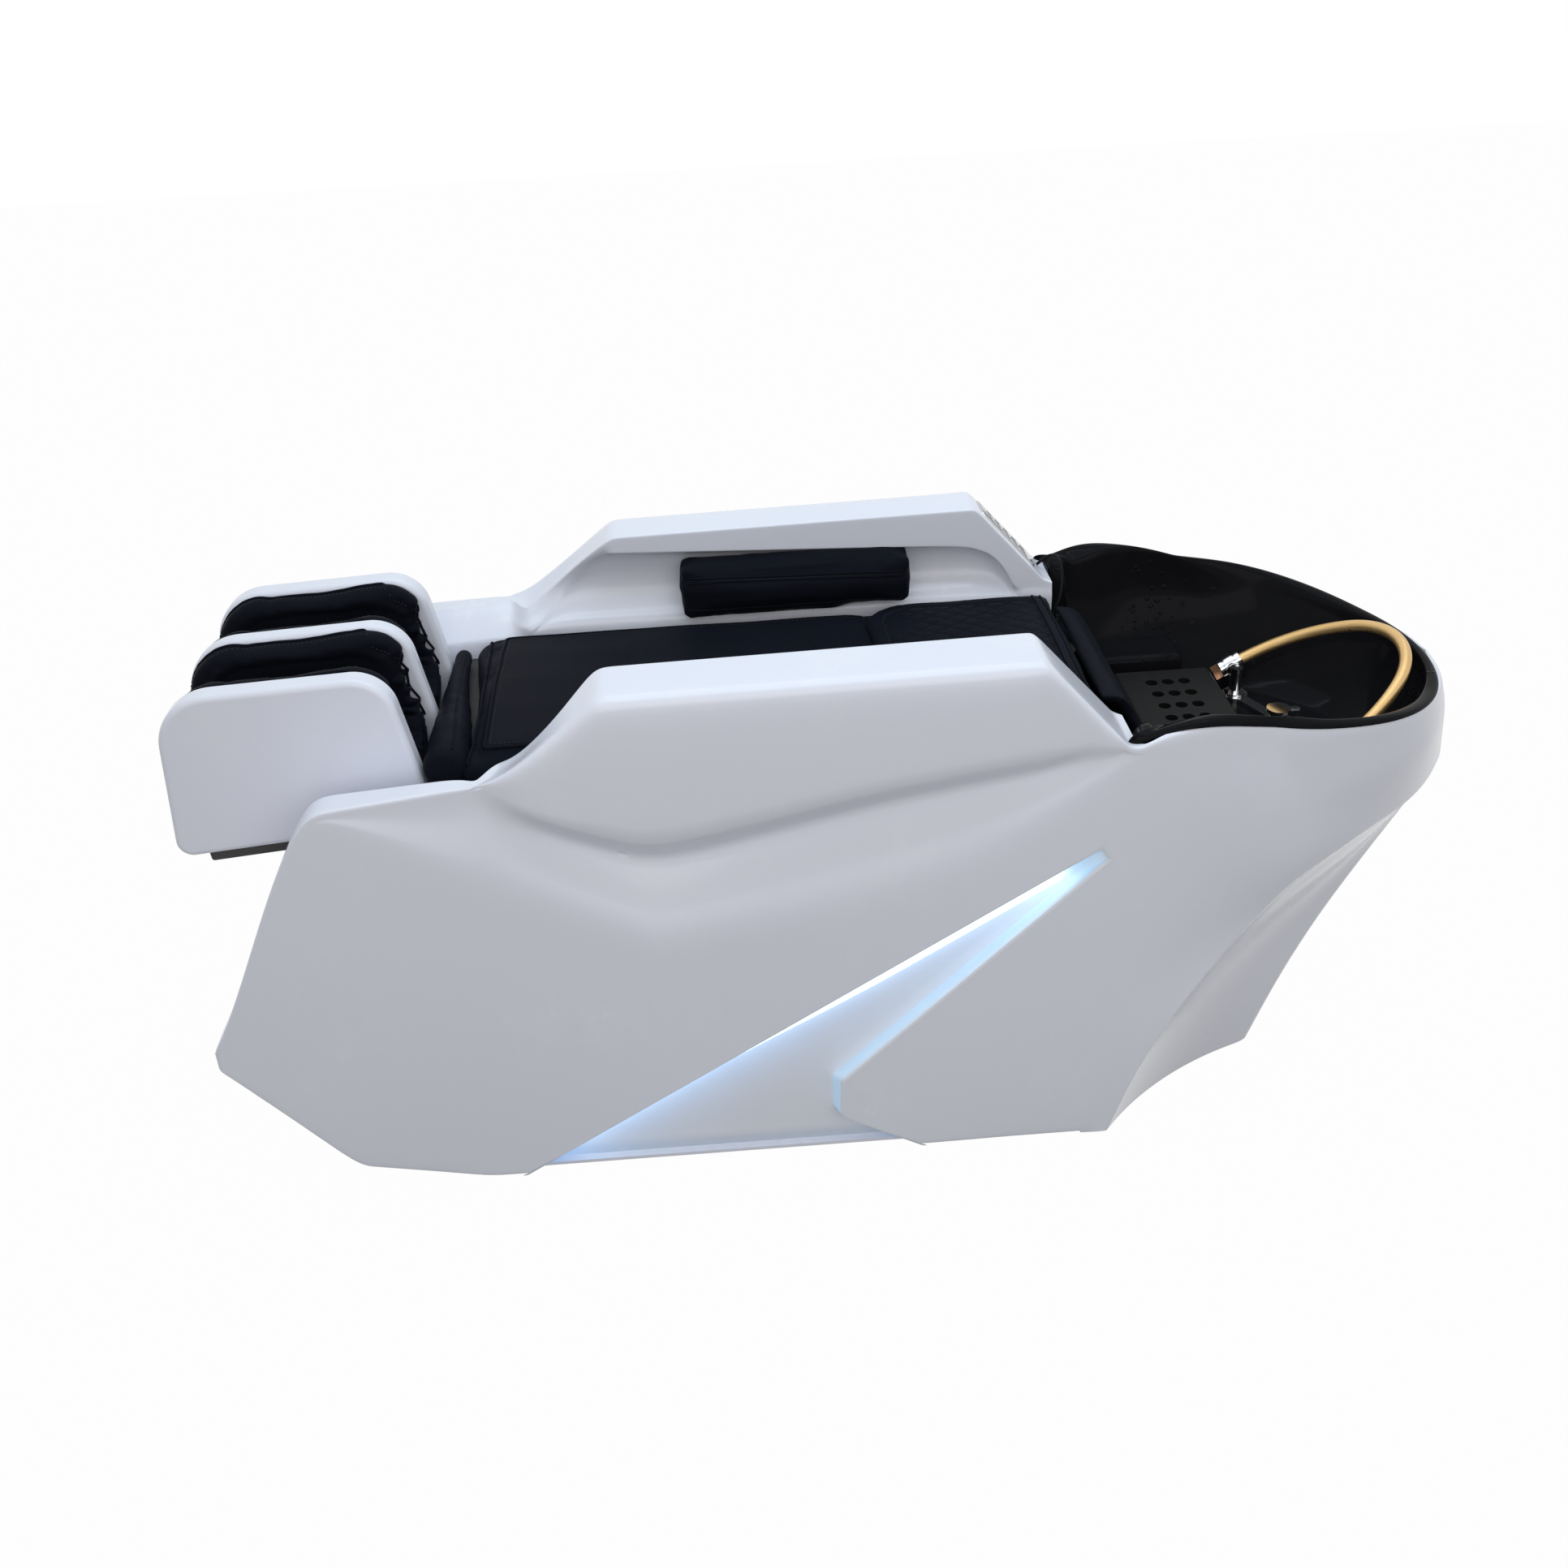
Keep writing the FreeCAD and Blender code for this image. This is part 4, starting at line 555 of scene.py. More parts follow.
def along(line, x):
    """A value read from a line of (x, value) pairs."""
    if x <= line[0][0]:
        return line[0][1]
    for (x0, a), (x1, b) in zip(line, line[1:]):
        if x <= x1:
            return a + (b - a) * (x - x0) / (x1 - x0)
    return line[-1][1]


def ease(value, low, high):
    """A smooth step from 0 at low to 1 at high."""
    share = min(max((value - low) / (high - low), 0), 1)
    return share * share * (3 - 2 * share)


def bend(start, middle, end, share):
    """A point of a curve with one control point."""
    return start * (1 - share) ** 2 + middle * (2 * share * (1 - share)) + end * share ** 2


def plan(u, crease, corner, tail, start, flank_bow):
    """A plan point: the side up to u = 1, the flank up to 2, the tail up to 3."""
    if u <= 1:
        return bend(start, Vector(((start.x + crease.x) / 2, start.y)), crease, u)
    if u <= 2:
        chord = corner - crease
        out = Vector((-chord.y, chord.x)).normalized()
        return bend(crease, (crease + corner) / 2 + out * 2 * flank_bow, corner, u - 1)
    return bend(corner, Vector((tail, corner.y * 0.55)), Vector((tail, 0)), u - 2)


def hull_plan(u, z):
    """A plan point of the hull at one height, on the positive side."""
    values = [along([(level[0], level[k]) for level in HULL_LEVELS], z) for k in range(1, 7)]
    crease = Vector(values[0:2])
    corner = Vector(values[2:4])
    return plan(u, crease, corner, values[4], HULL_START, values[5])


def hull_point(column, z, depth):
    """A point of the skin, set in by depth, for a column (x, None) or (None, u)."""
    x, u = column
    if u is None:
        return Vector((x, HALF - depth, z))
    here = hull_plan(u, z)
    step = 0.01
    run = hull_plan(min(u + step, 3), z) - hull_plan(max(u - step, 0), z)
    inward = Vector((run.y, -run.x)).normalized()
    if u >= 3:
        inward = Vector((-1, 0))
    spot = here + inward * depth
    return Vector((spot.x, max(spot.y, 0), z))


crease_spot = [round(v) for v in hull_plan(1, RIM_Z)]
print("hull at the rim:", crease_spot, "crease,", round(hull_plan(3, RIM_Z).x), "tail")

# %% Profiles of the shell


def lip_inset(x):
    """How far the basin's lip draws in behind the arm's tip."""
    return LIP_INSET * (1 - ease(x, 400, 490))


def arm_top(x, skew):
    """Height of the top edge. The foot of the arm's front slope runs askew across the top."""
    late = ease(x, -570, -536) * (1 - ease(x, -470, -345))
    return along(TOP_LINE, x - skew * FOOT_SKEW * late)


def outer_rows(x, u):
    """(depth, height) of each row of the outer skin, from the top edge to the floor."""
    top = along(TOP_LINE, x)
    low = along(UNDER_LINE, x)
    whole = top - low
    fold = max(min(along(FOLD_LINE, x), top - 10), top - 0.4 * whole)
    dent = along(HOLLOW_DEPTH, x)
    hollow = max(min(along(HOLLOW_LINE, x), fold - 6), fold - 0.6 * (fold - low))
    # The dent runs out into the ledge in front of the arm.
    edge = dent * (1 - ease(x, *LEDGE_BLEND))
    # Below the fold the skin first cuts in over a band, then rises slowly out of the hollow.
    band = min(0.6 * dent + FOLD_BAND * ease(dent, 0, 12), 0.36 * (fold - hollow))
    rest = fold - band - hollow
    # The arm's top edge is rounded, less so on its rear slope.
    soft = min(ARM_SOFT - SLOPE_CRISP * ease(x, *SLOPE_BLEND), 0.45 * (top - fold))
    under = min(40, 0.12 * whole)
    round_low = 0 if SLOT_FLOOR[0] < x < SLOT_FLOOR[1] else 3
    front = [
        (edge + soft, arm_top(x, 0.8)), (edge + 0.2 * soft, arm_top(x, 0.35) - 0.16 * soft),
        (edge, top - soft), (edge, (top - soft + fold) / 2), (edge, fold), (dent, fold - band),
        (0.62 * dent, hollow + 0.67 * rest), (0.28 * dent, hollow + 0.33 * rest), (0, hollow),
    ]
    front += [(0, hollow - share * (hollow - low)) for share in (0.12, 0.3, 0.5, 0.68, 0.82)]
    front += [(0, low + under), (0.2 * round_low, low + min(4, 0.4 * under)), (round_low, low)]
    ridge = along(RIDGE_LINE, u)
    # Under the tail's ridge the skin draws in, most of all on the flank.
    tuck = TAIL_TUCK * ease(u, 1, 1.12) * (1 - 0.75 * ease(u, 1.8, 2.1))
    inset = lip_inset(x)
    rear = [(inset + 8, top), (inset + 2, top), (0.6 * inset, top - 6)]
    rear += [(0, top - share * (top - ridge)) for share in (0.14, 0.3, 0.46, 0.62, 0.78, 0.9)]
    rear += [(tuck * deep, ridge * share) for deep, share in (
        (0, 1), (0.7, 0.93), (1, 0.8), (0.6, 0.62), (0.2, 0.43), (0, 0.25), (0, 0.09))]
    rear.append((0, 8))
    mix = ease(x, RIM_START, TAIL_BLEND)
    return [(a + (c - a) * mix, b + (d - b) * mix) for (a, b), (c, d) in zip(front, rear)]


def inner_skin(x, z):
    """Half width of the well at one place, with the scoop inside the arm."""
    ledge = 1 - ease(x, *LEDGE_END)
    slope = max(1 - (arm_top(x, 1) - z) / LEDGE_FALL, 0)
    wide = INNER + (LEDGE_HALF - INNER) * ledge * slope
    lip = along(ARM_LIP, x)
    share = (z - SCOOP_LOW) / (lip - SCOOP_LOW)
    if not 0 < share < 1:
        return wide + (3 if share >= 1 else 0)
    past = min(max((x - SCOOP_END) / SCOOP_ROUND, 0), 1)
    reach = math.sqrt(1 - past * past) * ease(x, -560, -480)
    return wide + 3 * share + SCOOP_DEEP * reach * math.sin(math.pi * share) ** 0.7


def inner_rows(x, first):
    """(half width, height) of each row inside the arm, from the top down to the floor."""
    top = arm_top(x, 1)
    low = along(UNDER_LINE, x)
    lip = along(ARM_LIP, x)
    edge = min(inner_skin(x, top), first - 2)
    step = min(4, 0.02 * (top - low))
    rows = [((first + edge) / 2, top), (min(edge + 7, (first + 2 * edge) / 3), top), (edge + 1, top - 0.4),
            (edge, top - min(2.5, step))]
    heights = [top - 9, lip + 5, lip]
    heights += [SCOOP_LOW + share * (lip - SCOOP_LOW) for share in (0.93, 0.8, 0.6, 0.4, 0.2, 0.07)]
    heights += [SCOOP_LOW, 600, 300, low]
    for height in heights:
        z = max(min(height, rows[-1][1] - step), low)
        rows.append((inner_skin(x, z), z))
    return rows


print(len(outer_rows(0, 0)), "outer rows and", len(inner_rows(0, 311)), "inner rows")

# %% Net of the shell
FRONT_X = (
    -972, -963, -930, -880, -835, -794, -770, -757, -741, -715, -660, -600, -570, -550, -541, -534,
    -526, -514, -500, -488, -460, -410, -365, -350, -338, -318, -294, -262, -200, -120, -40, 50, 140,
    220, 252, 262, 273, 288, 302, 314, 323,
)
REAR_U = (
    0, 0.04, 0.085, 0.125, 0.155, 0.171, 0.197, 0.25, 0.33, 0.43, 0.55, 0.7, 0.85, 0.95, 1, 1.05,
    1.15, 1.3, 1.5, 1.7, 1.85, 1.95, 2.05, 2.3, 2.65, 3,
)
COLUMNS = [(x, None) for x in FRONT_X] + [(None, u) for u in REAR_U]
FOLD_ROW = 4
CREASE_ROW = 9
LIP_ROW = 6
SHELL_WALL = 6
BASIN_WALL = 3.5
MOULDED_EDGE = 50


def mesh_of(net, name):
    """A net as a mesh."""
    mesh = bpy.data.meshes.new(name)
    net.to_mesh(mesh)
    net.free()
    return mesh


def join_rings(net, rings):
    """Faces between closed rings of points, one ring after another."""
    for first, second in zip(rings, rings[1:]):
        for k in range(len(first)):
            net.faces.new((first[k - 1], first[k], second[k], second[k - 1]))


def new_piece(name, mesh, finish, body, sharp=None):
    """A finished mesh as an object that rides on a body, with edges sharp from an angle in degrees."""
    piece = bpy.data.objects.new(name, mesh)
    scene.collection.objects.link(piece)
    mesh.materials.clear()
    mesh.materials.append(finish)
    for face in mesh.polygons:
        face.use_smooth = True
    if sharp:
        mesh.set_sharp_from_angle(angle=math.radians(sharp))
    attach(piece, body)
    return piece


def baked(piece):
    """Apply a piece's modifiers to its mesh."""
    graph = bpy.context.evaluated_depsgraph_get()
    mesh = bpy.data.meshes.new_from_object(piece.evaluated_get(graph))
    piece.modifiers.clear()
    piece.data = mesh
    return piece


def walled(piece, thickness):
    """Give a skin its wall on the inside, with true edges at the rim."""
    wall = piece.modifiers.new("wall", "SOLIDIFY")
    wall.thickness = thickness * MM
    wall.offset = -1
    baked(piece)
    piece.data.set_sharp_from_angle(angle=math.radians(MOULDED_EDGE))


def subdivided(mesh, levels):
    """A copy of a mesh with subdivision applied."""
    holder = bpy.data.objects.new("holder", mesh)
    scene.collection.objects.link(holder)
    smooth = holder.modifiers.new("smooth", "SUBSURF")
    smooth.levels = levels
    baked(holder)
    done = holder.data
    bpy.data.objects.remove(holder)
    return done


def shell_net(sign):
    """The net of one side, sign -1 for the left."""
    net = bmesh.new()
    sharp = net.edges.layers.float.new("crease_edge")
    outer = []
    inner = []
    rims = []
    for column in COLUMNS:
        rim_x = column[0] if column[1] is None else hull_plan(column[1], RIM_Z).x
        rims.append(rim_x)
        rows = outer_rows(rim_x, column[1] or 0)
        points = [hull_point(column, z, depth) for depth, z in rows]
        outer.append([net.verts.new((p.x * MM, sign * p.y * MM, p.z * MM)) for p in points])
        if rim_x < WELL_END + 1:
            rows = inner_rows(rim_x, points[0].y)
            inner.append([net.verts.new((rim_x * MM, sign * y * MM, z * MM)) for y, z in rows])
    for left, right in zip(outer, outer[1:]):
        for a, b, c, d in zip(left, right, right[1:], left[1:]):
            net.faces.new((a, b, c, d))
    for k in range(len(inner) - 1):
        near = [outer[k][0]] + inner[k] + [outer[k][-1]]
        far = [outer[k + 1][0]] + inner[k + 1] + [outer[k + 1][-1]]
        for a, b, c, d in zip(near, far, far[1:], near[1:]):
            net.faces.new((d, c, b, a))
    net.faces.new(outer[0] + inner[0][::-1])
    net.edges.ensure_lookup_table()
    for k in range(len(outer) - 1):
        x = rims[k]
        if -525 < x < 380:
            for row, hard in ((FOLD_ROW, 0.75), (FOLD_ROW + 1, 0.45)):
                edge = net.edges.get((outer[k][row], outer[k + 1][row]))
                edge[sharp] = hard * ease(x, -540, -440) * (1 - ease(x, 240, 390))
        if COLUMNS[k][1] and COLUMNS[k][1] >= 1:
            edge = net.edges.get((outer[k][CREASE_ROW], outer[k + 1][CREASE_ROW]))
            edge[sharp] = 0.8
        if k < len(inner) - 1 and -400 < x < 318:
            edge = net.edges.get((inner[k][LIP_ROW], inner[k + 1][LIP_ROW]))
            edge[sharp] = 0.6
    corner = outer[len(FRONT_X) + REAR_U.index(1)]
    for k in range(CREASE_ROW, len(corner) - 1):
        net.edges.get((corner[k], corner[k + 1]))[sharp] = 0.7
    bmesh.ops.recalc_face_normals(net, faces=net.faces)
    flank = [face for face in net.faces if all(v in outer[30] + outer[31] for v in face.verts)]
    if sum(face.normal.y * sign for face in flank) < 0:
        bmesh.ops.reverse_faces(net, faces=net.faces)
    return mesh_of(net, "shell_net")


print(len(COLUMNS), "columns")

# %% [markdown]
# ## Light slot
# A blade-shaped recess in each flank is lit from its upper edge. The flank is flat there, so its
# faces are cut along the blade's straight edges and those inside are taken out. A separate lining
# then gives the opening its rounded lips, its slanted lower wall and its back.

# %% Blade of the light slot
SLOT_ZERO = -546
SLOT_SLOPE = 0.607
SLOT_BACK_Y = 323


def upper_edge(x):
    """A point of the slot's straight upper edge."""
    return Vector((x, (x - SLOT_ZERO) * SLOT_SLOPE))


SLOT_TOE = upper_edge(SLOT_ZERO + 8 / SLOT_SLOPE)
SLOT_TIP = upper_edge(353)
SLOT_MOUTH = (
    (Vector((89, 8)), 0), (Vector((-36, 78)), 16), (Vector((-34, 154)), 18), (Vector((362, 530)), 5),
    (SLOT_TIP, 5), (SLOT_TOE, 0),
)
SLOT_BACK = (
    (Vector((63, 12)), 0), (Vector((-46, 80)), 14), (Vector((-46, 144)), 16), (Vector((318, 487)), 6),
    (upper_edge(306), 6), (upper_edge(SLOT_ZERO + 12 / SLOT_SLOPE), 0),
)
LIP_REACH = 6


def sideways(outline, reach):
    """The outline's corners moved outwards by reach, its first and last along the floor."""
    points = [p for p, r in outline]
    moved = []
    for k, here in enumerate(points):
        if k in (0, len(points) - 1):
            moved.append(here + Vector((-2 * reach if k else 2 * reach, 0)))
            continue
        back = (here - points[k - 1]).normalized()
        ahead_dir = (points[k + 1] - here).normalized()
        normal = Vector((-back.y, back.x)) + Vector((-ahead_dir.y, ahead_dir.x))
        length = min(reach / max(normal.length / 2, 0.05), 2.6 * reach)
        moved.append(here - normal.normalized() * length)
    return moved


def softened(outline, reach, steps=5):
    """Points along the outline, with arcs at its rounded corners."""
    corners = sideways(outline, reach) if reach else [p for p, r in outline]
    line = []
    for k, here in enumerate(corners):
        radius = outline[k][1]
        if not radius:
            line.append(here)
            continue
        back = (corners[k - 1] - here).normalized()
        ahead_dir = (corners[k + 1] - here).normalized()
        half = back.angle(ahead_dir) / 2
        run = min(radius / math.tan(half), 40)
        for step in range(steps + 1):
            line.append(bend(here + back * run, here, here + ahead_dir * run, step / steps))
    return line


def repeated(outline, reach, steps=5):
    """The outline's square corners, as often as the soft outline has points there."""
    line = []
    for (p, radius), here in zip(outline, sideways(outline, reach)):
        line += [here] * (steps + 1 if radius else 1)
    return line


SLOT_CUT = sideways(SLOT_MOUTH, LIP_REACH)
print("slot from", [round(v) for v in SLOT_TOE], "to", [round(v) for v in SLOT_TIP])

# %% Cut the slot and hang the shells


def inside_blade(x, z):
    """Whether a flank point lies in the blade's outline."""
    hit = False
    for a, b in zip(SLOT_CUT, SLOT_CUT[1:] + SLOT_CUT[:1]):
        if (a.y > z) != (b.y > z) and x < a.x + (b.x - a.x) * (z - a.y) / (b.y - a.y):
            hit = not hit
    return hit


def near_blade(face):
    """Whether a face lies on the flat flank round the blade."""
    middle = face.calc_center_median()
    return abs(middle.y) > 0.3535 and -0.65 < middle.x < 0.42 and middle.z < 0.58


def cut_slot(mesh):
    """Take the blade's faces out of the flat flank."""
    net = bmesh.new()
    net.from_mesh(mesh)
    for a, b in zip(SLOT_CUT, SLOT_CUT[1:]):
        run = b - a
        flank = [face for face in net.faces if near_blade(face)]
        parts = set(flank)
        for face in flank:
            parts.update(face.edges)
            parts.update(face.verts)
        bmesh.ops.bisect_plane(net, geom=list(parts), dist=1e-6,
                               plane_co=(a.x * MM, 0, a.y * MM), plane_no=(-run.y, 0, run.x))
    gone = []
    for face in net.faces:
        middle = face.calc_center_median()
        if abs(middle.y) > 0.338 and inside_blade(middle.x / MM, middle.z / MM):
            gone.append(face)
    bmesh.ops.delete(net, geom=gone, context="FACES")
    net.to_mesh(mesh)
    net.free()
    return len(gone)


for side, sign in SIDES:
    skin = subdivided(shell_net(sign), 2)
    taken = cut_slot(skin)
    shell = new_piece(f"{side}_shell_moulding", skin, white_coat, "base")
    walled(shell, SHELL_WALL)
    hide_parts(f"{side}_side_shell")
    print(shell.name, len(skin.polygons), "faces,", taken, "cut away")

# %% Lining of the slot


def slot_glow():
    """White lining with painted light: it glows blue from the lamp along its upper edge."""
    lining = Finish("slot_lining", roughness=0.24, coat_weight=0.4, emission_strength=1.0)

    def smooth_step(value, low, high, first=0.0, last=1.0):
        return lining.node("ShaderNodeMapRange", {"interpolation_type": "SMOOTHSTEP"}, {
            "Value": value, "From Min": low, "From Max": high, "To Min": first, "To Max": last})

    x, y, z = lining.axes(lining.place())
    upper = (x - SLOT_ZERO * MM) * SLOT_SLOPE
    # The drop is square to the upper edge, and the light falls off with it.
    drop = (upper - z) * 0.864
    near = lining.node("ShaderNodeMath", {"operation": "EXPONENT"}, {0: drop * -26.0})
    across = lining.node("ShaderNodeMath", {"operation": "ABSOLUTE"}, {0: y})
    wall = smooth_step(across, (SLOT_BACK_Y + 1) * MM, (SLOT_BACK_Y + 8) * MM)
    lip = smooth_step(across, 0.346, 0.3545)
    # Painted light: the back wall's glow fades away from the lamp, the side walls glow faintly and the lips
    # not at all.
    back = lining.blend(near, colour(0.0, 0.0, 0.0), colour(0.12, 0.32, 0.66))
    lit = lining.blend(wall, back, colour(0.02, 0.13, 0.22))
    cloud = lining.speckle(lining.place(), 9, 3.0)
    white = lining.blend(cloud, colour(0.76, 0.79, 0.86), colour(0.82, 0.85, 0.91))
    # Painted shade: the lining turns blue-grey towards the floor.
    painted_floor_shade = smooth_step(z, 0.012, 0.046, 0.6, 0.0)
    return lining.wear(
        base_color=lining.blend(painted_floor_shade, white, colour(0.36, 0.45, 0.55)),
        roughness=0.18 + 0.1 * cloud,
        emission_color=lining.blend(lip, lit, colour(0.0, 0.0, 0.0)),
    ).material


lining_finish = slot_glow()
SLOT_RINGS = (
    (SLOT_MOUTH, 4.5, 355), (SLOT_MOUTH, 1.6, 353.6), (SLOT_MOUTH, 0.2, 350.5),
    (SLOT_BACK, 0, SLOT_BACK_Y + 4), (SLOT_BACK, -3, SLOT_BACK_Y + 0.6), (SLOT_BACK, -8, SLOT_BACK_Y),
)
for side, sign in SIDES:
    net = bmesh.new()
    rings = [[net.verts.new((p.x * MM, sign * 355 * MM, p.y * MM)) for p in repeated(SLOT_MOUTH, LIP_REACH)]]
    for outline, reach, y in SLOT_RINGS:
        rings.append([net.verts.new((p.x * MM, sign * y * MM, p.y * MM)) for p in softened(outline, reach)])
    for first, second in zip(rings, rings[1:]):
        for a, b, c, d in zip(first, first[1:], second[1:], second):
            net.faces.new((a, b, c, d))
    net.faces.new(rings[-1])
    bmesh.ops.remove_doubles(net, verts=net.verts, dist=1e-5)
    bmesh.ops.recalc_face_normals(net, faces=net.faces)
    mesh = mesh_of(net, f"{side}_slot_lining")
    lining = new_piece(mesh.name, mesh, lining_finish, "base", 38)
    print(lining.name, len(mesh.polygons), "faces")

# %% Light bars
BAR_SPAN = (105, 988)
BAR_Y = (325.5, 336)


def bar_section(run):
    """(half width, drop below the slot's upper edge) of the lamp's cover at one place along it."""
    hang = 11 + 12 * ease(run, 350, 700)
    end = min(run - BAR_SPAN[0], BAR_SPAN[1] - run, 12) / 12
    hang = 2 + (hang - 2) * math.sqrt(1 - (1 - end) ** 2)
    near, far = BAR_Y[1], BAR_Y[0]
    return ((near, 0.5), (near, hang - 2), (near - 1.2, hang - 0.4), (near - 3.5, hang),
            (far + 3.5, hang), (far + 1.2, hang - 0.4), (far, hang - 2), (far, 0.5))


slot_run = Vector((1, SLOT_SLOPE)).normalized()
slot_down = Vector((slot_run.y, -slot_run.x))
bar_places = [BAR_SPAN[0] + step for step in (0, 1, 3, 6, 12)]
bar_places += [150 + 50 * step for step in range(17)]
bar_places += [BAR_SPAN[1] - step for step in (12, 6, 3, 1, 0)]
for side, sign in SIDES:
    net = bmesh.new()
    rings = []
    for run in bar_places:
        foot = Vector((SLOT_ZERO, 0)) + slot_run * run
        spots = [(foot + slot_down * drop, y) for y, drop in bar_section(run)]
        rings.append([net.verts.new((p.x * MM, sign * y * MM, p.y * MM)) for p, y in spots])
    join_rings(net, rings)
    net.faces.new(rings[0])
    net.faces.new(rings[-1][::-1])
    bmesh.ops.recalc_face_normals(net, faces=net.faces)
    mesh = mesh_of(net, f"{side}_lamp_cover")
    bar = new_piece(mesh.name, mesh, SLOT_FINISH["light_strip"], "base")
    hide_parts(f"{side}_light_bar")
    print(bar.name, len(mesh.polygons), "faces")

# %% [markdown]
# ## Basin
# The bowl is one black moulding: a crowned lip that follows the rim of the shells, walls that draw
# in towards the floor, a notch for the neck and a drain. It is a net of columns round the bowl
# and rows from the lip to the drain, mirrored about the middle, then subdivided.

# %% Basin lines
CROWN_LINE = (
    (402, 724), (430, 734), (450, 738), (484, 739), (515, 735), (534, 731.5), (560, 726), (586, 719.5),
    (640, 709.5), (720, 700), (800, 686.5), (860, 674), (910, 664), (950, 660),
)
LIP_WIDER = 24
# A bowl level is its height, the front x and y, the crease x and y, the corner x and y, and the tail x.
BOWL_LEVELS = (
    (512, 445, 200, 640, 194, 800, 108, 845), (545, 437, 234, 655, 228, 845, 116, 893),
    (640, 428, 302, 690, 286, 898, 128, 936), (700, 427, 322, 640, 298, 889, 142, 932),
    (770, 426, 327, 640, 298, 889, 142, 932),
)
BOWL_BOW = ((512, 18), (640, 22), (700, 50), (770, 50))
NECK_Z = 640
BOWL_FLOOR = 512.6
BOWL_MIDDLE = Vector((660, 0))
DRAIN = Vector((790, 0))
DRAIN_ROUND = 24
LIP_FRONT_X = 402
LIP_START_U = 0.181


def bowl_plan(u, z):
    """A plan point inside the bowl: below 0 along the front wall, then round the side."""
    values = [along([(level[0], level[k]) for level in BOWL_LEVELS], z) for k in range(1, 8)]
    front = Vector(values[0:2])
    if u <= 0:
        return Vector((front.x, front.y * (1 + u)))
    share = (u - LIP_START_U) / (1 - LIP_START_U) if u < 1 else u
    crease = Vector(values[2:4])
    corner = Vector(values[4:6])
    if u < 1:
        chord = crease - front
        out = Vector((-chord.y, chord.x)).normalized()
        return bend(front, (front + crease) / 2 + out * 24, crease, share)
    return plan(u, crease, corner, values[6], front, along(BOWL_BOW, z))


def lip_plan(u):
    """A plan point of the lip's outer edge."""
    if u <= 0:
        return Vector((LIP_FRONT_X, (hull_plan(LIP_START_U, RIM_Z).y - LIP_INSET) * (1 + u)))
    spot = hull_plan(u, RIM_Z)
    return Vector((spot.x, spot.y - lip_inset(spot.x)))


def rim_height(u, line):
    """Height of the lip's outer edge or crown, which drops into the neck notch at the front."""
    if u > 0:
        return along(line, lip_plan(u).x)
    return NECK_Z + (along(line, LIP_FRONT_X) - NECK_Z) * ease(lip_plan(u).y, 258, 300)


def bowl_wall(u, z):
    """The bowl's wall, drawn in below the lip's front corners, where the lip is wide."""
    spot = bowl_plan(u, z)
    if u <= 0:
        return spot
    wider = LIP_WIDER * (1 - ease(spot.x, 450, 600)) * ease(z, 590, 690)
    return spot + (BOWL_MIDDLE - spot).normalized() * wider


def bowl_rows(u):
    """Points from the lip's outer edge to the drain at one column."""
    edge = rim_height(u, TOP_LINE)
    rim = rim_height(u, CROWN_LINE)
    out = lip_plan(u)
    inside = bowl_wall(u, 770)
    rows = [(*out.lerp(inside, across), edge + (rim - edge) * up)
            for across, up in ((0, 0), (0.05, 0.5), (0.2, 0.88), (0.42, 1), (0.84, 0.98))]
    last = rim
    for height in (rim - 5, rim - 24, 645, 600, 565, 538, 520, BOWL_FLOOR):
        last = max(min(height, last - 3), BOWL_FLOOR)
        rows.append((*bowl_wall(u, last), last))
    floor_edge = Vector(rows[-1][:2])
    toward = (floor_edge - DRAIN).normalized() * DRAIN_ROUND + DRAIN
    for share in (0.12, 0.45, 0.8, 1):
        spot = floor_edge.lerp(toward, share)
        rows.append((*spot, 512.2 - 0.6 * share))
    rows.append((*toward, 504))
    return rows


BOWL_U = (
    -1, -0.8, -0.6, -0.42, -0.3, -0.24, -0.2, -0.16, -0.1, -0.03, LIP_START_U, 0.215, 0.26, 0.33, 0.43,
    0.55, 0.7, 0.85, 0.95, 1, 1.05, 1.15, 1.3, 1.5, 1.7, 1.85, 1.95, 2.05, 2.3, 2.65, 3,
)
print("rim from", round(rim_height(0.2, CROWN_LINE)), "to", round(rim_height(3, CROWN_LINE)), "mm high")

# %% Basin moulding
net = bmesh.new()
loop = [bowl_rows(u) for u in BOWL_U]
ring = [[(x, -y, z) for x, y, z in rows] for rows in loop]
ring += [[(x, y, z) for x, y, z in rows] for rows in loop[-2:0:-1]]
strands = [[net.verts.new(Vector(p) * MM) for p in rows] for rows in ring]
for left, right in zip(strands, strands[1:] + strands[:1]):
    for a, b, c, d in zip(left, right, right[1:], left[1:]):
        net.faces.new((a, b, c, d))
bmesh.ops.recalc_face_normals(net, faces=net.faces)
floor_faces = [f for f in net.faces if f.calc_center_median().z < 0.5125]
if sum(f.normal.z for f in floor_faces) < 0:
    bmesh.ops.reverse_faces(net, faces=net.faces)
skin = subdivided(mesh_of(net, "basin_net"), 2)
basin = new_piece("basin_moulding", skin, black_coat, "base")
walled(basin, BASIN_WALL)
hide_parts("basin")
print(basin.name, len(basin.data.polygons), "faces")

# %% [markdown]
# ## Shelves in the bowl
# Beside the head pad the bowl's moulding rises to a shelf on each side. Its outer face leans with
# the bowl's wall, and a bevel rounds the edges that a hand would touch.

# %% Bowl shelves
SHELF_X = (469, 618)
SHELF_INNER = 180
SHELF_TOP = 585
SHELF_OUTER = (194, 262)

